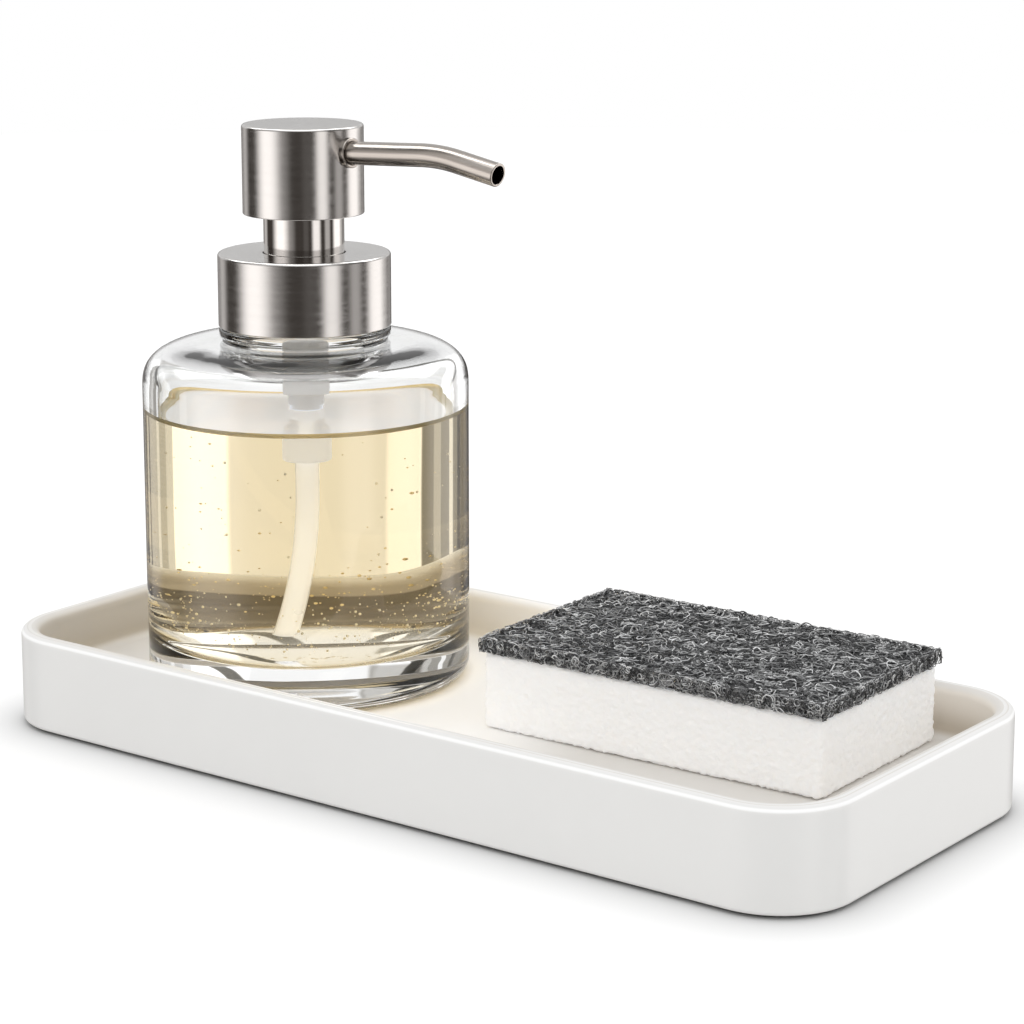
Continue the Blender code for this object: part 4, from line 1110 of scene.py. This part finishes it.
def make_spring():
    """The return spring, whose end turns lie closer."""
    reach = SPRING_HIGH.x - AXIS.x - SPRING_WIRE
    count = SPRING_TURNS * SPRING_TURN_STEPS
    ends = SPRING_TURN_STEPS / 2
    weights = [SPRING_END_SHARE if min(step, count - 1 - step) < ends else 1.0 for step in range(count)]
    climbs = np.concatenate(([0.0], np.cumsum(weights))) / sum(weights)
    foot = SPRING_LOW.z + SPRING_WIRE
    height = SPRING_HIGH.z - SPRING_WIRE - foot
    route = [
        AXIS + on_circle(reach, math.tau * step / SPRING_TURN_STEPS, foot + height * float(climb))
        for step, climb in enumerate(climbs)
    ]
    section = [(place, ahead, SPRING_WIRE) for place, ahead in headed(route)]
    mesh = swept("spring_coil", section, SPRING_WIRE_SIDES, off_axis, False)
    spring = add_piece("spring_coil", mesh, "pump", "spring_steel", [BRIGHT_STEEL], "return_spring")
    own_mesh(spring)


def fine_block(name, size, foot, round_by, step):
    """A block with round edges, split finely enough to be pushed in and out."""
    half = size / 2
    counts = [max(2, int(round(length / step))) for length in size]
    places = {}
    faces = []
    for axis, far in product(range(3), (False, True)):
        first, second = [count for other, count in enumerate(counts) if other != axis]
        grid = {}
        for spot in product(range(first + 1), range(second + 1)):
            point = [*spot]
            point.insert(axis, counts[axis] if far else 0)
            grid[spot] = places.setdefault(tuple(point), len(places))
        for i, j in product(range(first), range(second)):
            face = (grid[i, j], grid[i + 1, j], grid[i + 1, j + 1], grid[i, j + 1])
            faces.append(face if far == (axis != 1) else face[::-1])
    spots = np.array(list(places), float) / np.array(counts) * size - half
    core = np.clip(spots, -(half - round_by), half - round_by)
    away = spots - core
    length = np.linalg.norm(away, axis=1, keepdims=True)
    length[length == 0] = 1
    spots = core + away / length * np.minimum(length, round_by)
    spots[:, 2] += half[2] + foot
    return new_mesh(name, spots.tolist(), faces)


def rumple(mesh, amount, scale, seed):
    """Moves each point in or out by a smooth noise, the same each run."""
    offset = Vector((seed, seed * 2, seed * 3))
    normals = [vertex.normal.copy() for vertex in mesh.vertices]
    for vertex, normal in zip(mesh.vertices, normals):
        push = noise.fractal(vertex.co * scale + offset, 0.8, 2.0, 3)
        vertex.co += normal * (push * amount)


def add_soft(name, inset, height, foot, round_by, step, uneven, slot, material, node_name):
    """A soft block of the sponge, with an uneven skin."""
    size = np.array((*(SPONGE_SIZE - inset), height))
    mesh = fine_block(name, size, foot, round_by, step)
    rumple(mesh, *uneven)
    mesh.transform(SPONGE_PLACE)
    mesh.shade_smooth()
    piece = add_piece(name, mesh, "sponge", slot, [material], node_name)


def kept_near(points, beyond):
    """Points held over the sponge, and no further beyond its sides than that."""
    limit = HALF_SPONGE + beyond
    points[:, :, :2] = np.clip(points[:, :, :2], -limit, limit)
    return points


def side_curls(count, seed):
    """Curly strands over the four sides of the pad, as arrays of points."""
    rng = np.random.default_rng(seed)
    low = PAD_LOW.z + FIBRE_RADIUS
    high = PAD_HIGH.z
    along_x = rng.uniform(0, 1, count) < SPONGE_SIZE[0] / SPONGE_SIZE.sum()
    side = rng.choice((-1.0, 1.0), count)
    along = rng.uniform(-1, 1, count) * np.where(along_x, HALF_SPONGE[0], HALF_SPONGE[1])
    up = rng.uniform(low, high, count)
    out = rng.normal(0, SIDE_REACH, count)
    heading = rng.uniform(0, math.tau, count)
    bend = rng.choice((-1.0, 1.0), count) * rng.uniform(*SIDE_BENDS, count)
    step = rng.uniform(*SIDE_STEPS, count)
    points = np.empty((count, FIBRE_POINTS, 3))
    for index in range(FIBRE_POINTS):
        edge = np.where(along_x, HALF_SPONGE[1], HALF_SPONGE[0]) + out
        points[:, index, 0] = np.where(along_x, along, side * edge)
        points[:, index, 1] = np.where(along_x, side * edge, along)
        points[:, index, 2] = up
        heading = heading + bend + rng.uniform(-FIBRE_WOBBLE, FIBRE_WOBBLE, count)
        along = along + np.cos(heading) * step
        up = np.clip(up + np.sin(heading) * step, low, high)
        out = out + rng.normal(0, SIDE_REACH * 0.35, count)
    return kept_near(points, 3 * SIDE_REACH)


def curls(count, seed, x_range):
    """Curly strands as arrays of points, lying mostly flat near the top."""
    rng = np.random.default_rng(seed)
    low, high = PAD_LOW.z, PAD_HIGH.z
    start = np.empty((count, 3))
    start[:, 0] = rng.uniform(*x_range, count)
    start[:, 1] = rng.uniform(-HALF_SPONGE[1], HALF_SPONGE[1], count)
    depth = rng.beta(1.0, 2.2, count)
    near_side = np.max(np.abs(start[:, :2]) / HALF_SPONGE, axis=1) > NEAR_SIDE
    depth[near_side] = rng.uniform(0, 1, near_side.sum())
    start[:, 2] = high - FIBRE_INSET - depth * (high - low - 2 * FIBRE_INSET)
    heading = rng.uniform(0, math.tau, count)
    bend = rng.choice((-1.0, 1.0), count) * rng.uniform(*TOP_BENDS, count)
    wobble = rng.uniform(-FIBRE_WOBBLE, FIBRE_WOBBLE, (count, FIBRE_POINTS))
    tilt = rng.normal(0, FIBRE_TILT, count)
    step = rng.uniform(*TOP_STEPS, count)
    points = np.empty((count, FIBRE_POINTS, 3))
    points[:, 0] = start
    for index in range(1, FIBRE_POINTS):
        heading = heading + bend + wobble[:, index]
        rise = tilt * np.cos(index * 0.7 + wobble[:, index] * 4)
        move = np.stack((np.cos(heading), np.sin(heading), rise), axis=1)
        points[:, index] = points[:, index - 1] + move * step[:, None]
    points[:, :, 2] = np.clip(points[:, :, 2], low, high + FIBRE_PROUD)
    return kept_near(points, FIBRE_INSET)


def strand_mesh(name, points, radius):
    """Three-sided tubes along arrays of points, as one mesh."""
    count, length = points.shape[:2]
    ahead = np.gradient(points, axis=1)
    ahead /= np.linalg.norm(ahead, axis=2, keepdims=True) + 1e-12
    side = np.cross(ahead, (0.0, 0.0, 1.0))
    side /= np.linalg.norm(side, axis=2, keepdims=True) + 1e-12
    other = np.cross(ahead, side)
    places = np.empty((count, length, FIBRE_SIDES, 3))
    taper = np.ones(length)
    taper[0] = taper[-1] = FIBRE_TAPER
    for index in range(FIBRE_SIDES):
        angle = math.tau * index / FIBRE_SIDES
        offset = side * math.cos(angle) + other * math.sin(angle)
        places[:, :, index] = points + offset * radius[:, None, None] * taper[None, :, None]
    numbers = np.arange(count * length * FIBRE_SIDES).reshape(count, length, FIBRE_SIDES)
    following = np.roll(numbers, -1, axis=2)
    walls = (numbers[:, :-1], following[:, :-1], following[:, 1:], numbers[:, 1:])
    faces = np.stack(walls, axis=-1).reshape(-1, 4).tolist()
    faces += numbers[:, 0, ::-1].tolist() + numbers[:, -1].tolist()
    mesh = new_mesh(name, places.reshape(-1, 3).tolist(), faces)
    mesh.shade_smooth()
    return mesh


def add_strands(name, points, seed, thickness):
    radius = FIBRE_RADIUS * np.random.default_rng(seed).uniform(*thickness, len(points))
    mesh = strand_mesh(name, points, radius)
    mesh.transform(SPONGE_PLACE)
    add_piece(name, mesh, "sponge", "scour_pad", [FIBRE])


def make_sponge():
    """The foam block and the scouring pad: a dark felt, and curly strands over it."""
    height = FOAM_HIGH.z - FOAM_LOW.z + GAP
    rounding = (FOAM_ROUND, FOAM_STEP, FOAM_UNEVEN)
    add_soft("foam_block", FOAM_INSET, height, FOAM_LOW.z, *rounding, "foam", FOAM, "sponge_foam")
    height = PAD_HIGH.z - PAD_LOW.z - FELT_DROP
    rounding = (FELT_ROUND, FELT_STEP, FELT_UNEVEN)
    add_soft("pad_felt", FELT_INSET, height, PAD_LOW.z, *rounding, "scour_pad", FELT, "scour_pad")
    half = HALF_SPONGE[0]
    for number, (side, x_range) in enumerate((("left", (-half, 0.0)), ("right", (0.0, half)))):
        points = curls(FIBRES // 2, FIBRE_SEED + number, x_range)
        add_strands(f"pad_strands_{side}", points, FIBRE_SEED + 10 + number, TOP_THICKNESS)
    points = side_curls(SIDE_FIBRES, FIBRE_SEED + 2)
    add_strands("pad_strands_sides", points, FIBRE_SEED + 12, SIDE_THICKNESS)


OUTER = radius_of(GLASS_LOW, GLASS_HIGH)
INNER = OUTER - GLASS_WALL
FLOOR = GLASS_LOW.z + GLASS_BASE
make_tray()
make_bottle(OUTER, INNER, FLOOR)
make_soap(INNER, FLOOR)
make_bubbles(INNER, FLOOR)
make_metal()
make_spout()
make_barrel()
make_tube()
make_spring()
make_sponge()

CAD_FINISHES = (
    (SILICONE, ("foot_front_left", "foot_front_right", "foot_back_left", "foot_back_right")),
    (SEAL, ("neck_gasket",)),
    (INNER_WHITE, ("lock_ring", "closure_liner", "stem_tube", "head_insert")),
    (BRIGHT_STEEL, ("inlet_ball",)),
    (PISTON, ("piston_seal",)),
)
for material, names in CAD_FINISHES:
    for name in names:
        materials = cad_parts[name].data.materials
        if len(materials):
            materials[0] = material
        else:
            materials.append(material)

# Camera, at the photograph's place
CAMERA_PLACE = (0.44593, -0.58359, 0.24259)
CAMERA_YAW = 0.6463
CAMERA_PITCH = 0.19977
CAMERA_LENS = 102.46
CAMERA_SHIFT = -0.1

camera = placed("camera", bpy.data.cameras.new("camera"))
camera.location = CAMERA_PLACE
camera.rotation_euler = (math.pi / 2 - CAMERA_PITCH, 0, CAMERA_YAW)
camera.data.lens = CAMERA_LENS
camera.data.shift_y = CAMERA_SHIFT
camera.data.clip_start = 0.01
bpy.context.scene.camera = camera

# Studio. Strips of light are (middle, half width, soft edge, brightness), the first three in degrees
# round the object from the photograph's side. Heights are those of a direction, from -1 to 1.
STRIPS = (
    (-67, 6, 28, 1.65),
    (-38, 3, 20, 0.30),
    (10, 3, 8, 0.06),
    (40, 5, 12, 1.35),
    (75, 4, 9, 0.55),
    (113, 8, 14, 1.60),
    (135, 3, 12, 0.65),
    (-135, 3, 14, 0.62),
    (157, 3, 12, 0.30),
    (-157, 3, 12, 0.30),
)
DARK = 0.06
# Boxes of light above the strips, which only rounds and tops can see, and a white back
HIGH_BOXES = ((128, 15, 5, 4.5), (-122, 12, 5, 3.5), (-10, 60, 20, 0.6))
HIGH_BASE = 0.25
HIGH_FROM = (0.45, 0.55)
OVERHEAD = 1.3
OVERHEAD_FROM = (0.80, 0.92)
BACK = (180, 50, 15, 0.74)
BACK_FROM = (0.02, 0.12)
# How the strips end upwards and downwards
UPPER_FADE = (0.0, 0.3, 1.0, 0.45)
LOWER_FADE = (-0.6, -0.3, 0.3, 1.0)
# Red and blue of what metal shows, as (times, plus) of the green
METAL_RED = (1.028, 0.007)
METAL_BLUE = (0.985, -0.005)

# What glass and soap show of the studio: a white back, brighter beside its middle, and dark sides
SEEN_STRIPS = (
    (180, 29.5, 1, 0.95),
    (159.5, 8.5, 2, 0.72),
    (-155, 4.4, 1.5, 0.32),
    (139.5, 11, 0.8, 0.60),
    (147.5, 1.6, 0.8, 0.25),
    (139, 1, 0.6, 0.35),
    (124, 1.8, 0.6, 0.85),
    (115, 2, 0.6, 0.55),
    (99, 2, 1, 0.80),
    (-139, 11, 0.8, 0.26),
    (-142.8, 1.6, 0.6, 0.24),
    (-133.7, 1.3, 0.5, 0.68),
    (-118, 5, 2, 0.18),
    (-98, 3, 2, 0.90),
    (-67, 8, 20, 1.10),
    (40, 6, 12, 0.90),
)
SEEN_DARK = 0.05
SEEN_CAP = 1.62
SWAY = (45.0, 0.008)  # how often and how far the strips' edges swing with height
# The same where they look steeply up or down
SEEN_STEEP = ((180, 55, 10, 0.80), (0, 50, 30, 0.70), (92, 5, 3, 0.55), (-92, 5, 3, 0.55))
STEEP_DARK = 0.12
STEEP_FROM = (0.45, 0.75)
# Dark edges that show in the empty shoulder alone, and how many degrees they lean with height
EDGES = (((147.3, 2.2, 1.2, 0.88), 58.7), ((-138.1, 2.2, 1.2, 0.88), -36.0))
EDGES_FROM = (-0.185, -0.165)
# A dark panel, which draws the line in the base
PANEL = (-153, 8, 1.72, 0.55)
PANEL_RISES = (0.21, 0.26)
PANEL_ENDS = (0.40, 0.45)
# Green and blue of what is seen, as (times, plus) of the brightness, so that its dark places are cool
SEEN_GREEN = (0.05, 0.95)
SEEN_BLUE = (0.16, 0.84)

HORIZON = 0.60
ZENITH = 1.45
LEFT_LEAN = 0.01  # how much more light comes from the tray's left end
FLOOR_RADIUS = 1.6
FLOOR_SIDES = 96
FLOOR_SEEN = 0.93
FLOOR_BOUNCE = 0.78
# The painted shadow beside the tray: a dark line of contact, and a soft painted shade further out, metres
CONTACT_UNDER = 0.0025
CONTACT_REACH = 0.0024
CONTACT_DEPTH = 0.66
SHADE_REACH = 0.018
SHADE_DEPTH = 0.13
WHITE = (1.0, 1.0, 1.0)


def studio_strip(tree, given):
    """One upright strip of light, by its angle round the object."""
    apart = (given["Angle"] - given["Middle"]).math("WRAP", math.pi, -math.pi).math("ABSOLUTE")
    mask = apart.eased(given["Half"], given["Half"] + given["Edge"], 1.0, 0.0)
    return {"Light": mask * given["Level"]}


STRIP = group(
    "studio_strip", {"Angle": 0.0, "Middle": 0.0, "Half": 0.1, "Edge": 0.1, "Level": 1.0}, studio_strip
)


def one_strip(angle, strip):
    """How bright a strip is in a direction."""
    middle, half, edge = (math.radians(degrees) for degrees in strip[:3])
    values = {"angle": angle, "middle": middle, "half": half, "edge": edge, "level": strip[3]}
    return place_effect(angle.tree, STRIP, **values)["Light"]


def strips_sum(angle, strips, dark):
    total = dark
    for strip in strips:
        total = one_strip(angle, strip) + total
    return total


def shown_by_metal(angle, up):
    """Strips with dark between them, a white back, and boxes of light above."""
    strips = strips_sum(angle, STRIPS, DARK) * up.eased(*UPPER_FADE) * up.eased(*LOWER_FADE)
    warm = coloured(strips.times_plus(*METAL_RED), strips, strips.times_plus(*METAL_BLUE))
    shine = mixed(one_strip(angle, BACK) * up.eased(*BACK_FROM), warm, WHITE)
    boxes = strips_sum(angle, HIGH_BOXES, HIGH_BASE) * up.eased(*HIGH_FROM)
    boxes = up.eased(*OVERHEAD_FROM).times_plus(OVERHEAD, boxes)
    return mixed(1.0, shine, boxes, "LIGHTEN")


def shown_by_glass(angle, up):
    """A white back with dark sides, and the dark lines of shoulder and base."""
    often, far = SWAY
    swayed = angle + (up * often).math("SINE") * far
    seen = strips_sum(swayed, SEEN_STRIPS, SEEN_DARK).math("MINIMUM", SEEN_CAP)
    in_shoulder = up.ranged(*EDGES_FROM)
    for edge, lean in EDGES:
        leaned = up.times_plus(-math.radians(lean), angle)
        seen = seen * (one_strip(leaned, edge) * in_shoulder).times_plus(-1.0, 1.0)
    in_base = up.eased(*PANEL_RISES) * up.eased(*PANEL_ENDS, 1.0, 0.0)
    seen = seen * (one_strip(angle, PANEL) * in_base).times_plus(-1.0, 1.0)
    steep = up.math("ABSOLUTE").eased(*STEEP_FROM)
    seen = (strips_sum(angle, SEEN_STEEP, STEEP_DARK) - seen).times_plus(steep, seen)
    green = seen.times_plus(*SEEN_GREEN).math("MINIMUM", 1.0)
    blue = seen.times_plus(*SEEN_BLUE).math("MINIMUM", 1.0)
    return coloured(seen, green * seen, blue * seen)


def make_world():
    """White to the camera. Metal and glass see strips of light with dark between them."""
    world = bpy.data.worlds.new("studio")
    bpy.context.scene.world = world
    world.use_nodes = True
    tree = world.node_tree
    where = node(tree, "ShaderNodeTexCoord")["Generated"]
    inputs = {"Vector": where, "Angle": -CAMERA_YAW}
    from_photo = parts_of(node(tree, "ShaderNodeVectorRotate", inputs, rotation_type="Z_AXIS")["Vector"])
    angle = from_photo["X"].math("ARCTAN2", from_photo["Y"] * -1.0)
    up = from_photo["Z"]
    rise = parts_of(where)["X"].times_plus(-LEFT_LEAN, up.ranged(0.0, 1.0, HORIZON, ZENITH))
    path = node(tree, "ShaderNodeLightPath")
    colour = mixed(path["Is Glossy Ray"], rise, shown_by_metal(angle, up))
    colour = mixed(path["Is Transmission Ray"], colour, shown_by_glass(angle, up))
    colour = mixed(path["Diffuse Depth"].math("GREATER_THAN", 0.5), colour, rise)
    feed(tree.nodes["Background"].inputs["Color"], mixed(path["Is Camera Ray"], colour, WHITE))


def outside_of(where, half, corner):
    """How far a point lies outside a rectangle with round corners, seen from above."""
    place = parts_of(where)
    squares = 0.0
    for axis, reach in zip("XY", half):
        beyond = (place[axis].math("ABSOLUTE") - (reach - corner)).math("MAXIMUM", 0.0)
        squares = beyond.times_plus(beyond, squares)
    return squares.math("SQRT") - corner


def floor_surface(tree):
    """Matt and pale, with a painted shadow beside the tray. Metal and glass see the studio in its place."""
    distance = outside_of(own_place(tree), (TRAY_HIGH.x, TRAY_HIGH.y), TRAY_CORNER)
    # Painted shadow: the floor's colour darkens toward the tray
    from_under = (distance + CONTACT_UNDER).math("MAXIMUM", 0.0)
    line = (from_under * (-1 / CONTACT_REACH)).math("EXPONENT")
    soft = distance.eased(0.0, SHADE_REACH, SHADE_DEPTH, 0.0)
    seen = (line.times_plus(-CONTACT_DEPTH, 1.0) - soft) * FLOOR_SEEN
    path = node(tree, "ShaderNodeLightPath")
    tone = path["Is Camera Ray"].ranged(0.0, 1.0, FLOOR_BOUNCE, seen)
    matt = node(tree, "ShaderNodeBsdfDiffuse", {"Color": tone})["BSDF"]
    clear = node(tree, "ShaderNodeBsdfTransparent")["BSDF"]
    shiny = path["Is Glossy Ray"].math("MAXIMUM", path["Is Transmission Ray"])
    return node(tree, "ShaderNodeMixShader", {0: shiny, 1: matt, 2: clear})["Shader"]


def make_floor():
    """A pale floor that keeps the shadow, and carries a painted shadow beside the tray."""
    ring = [on_circle(FLOOR_RADIUS, math.tau * side / FLOOR_SIDES) for side in range(FLOOR_SIDES)]
    mesh = new_mesh("floor", ring, [tuple(range(FLOOR_SIDES))])
    placed("floor", mesh)
    mesh.materials.append(surfaced("floor_white", floor_surface))


make_world()
make_floor()
bpy.context.scene.view_settings.view_transform = "Standard"
bpy.context.scene.cycles.max_bounces = 24
bpy.context.scene.cycles.transmission_bounces = 24
bpy.context.scene.cycles.diffuse_bounces = 6
bpy.context.scene.cycles.blur_glossy = 0.0
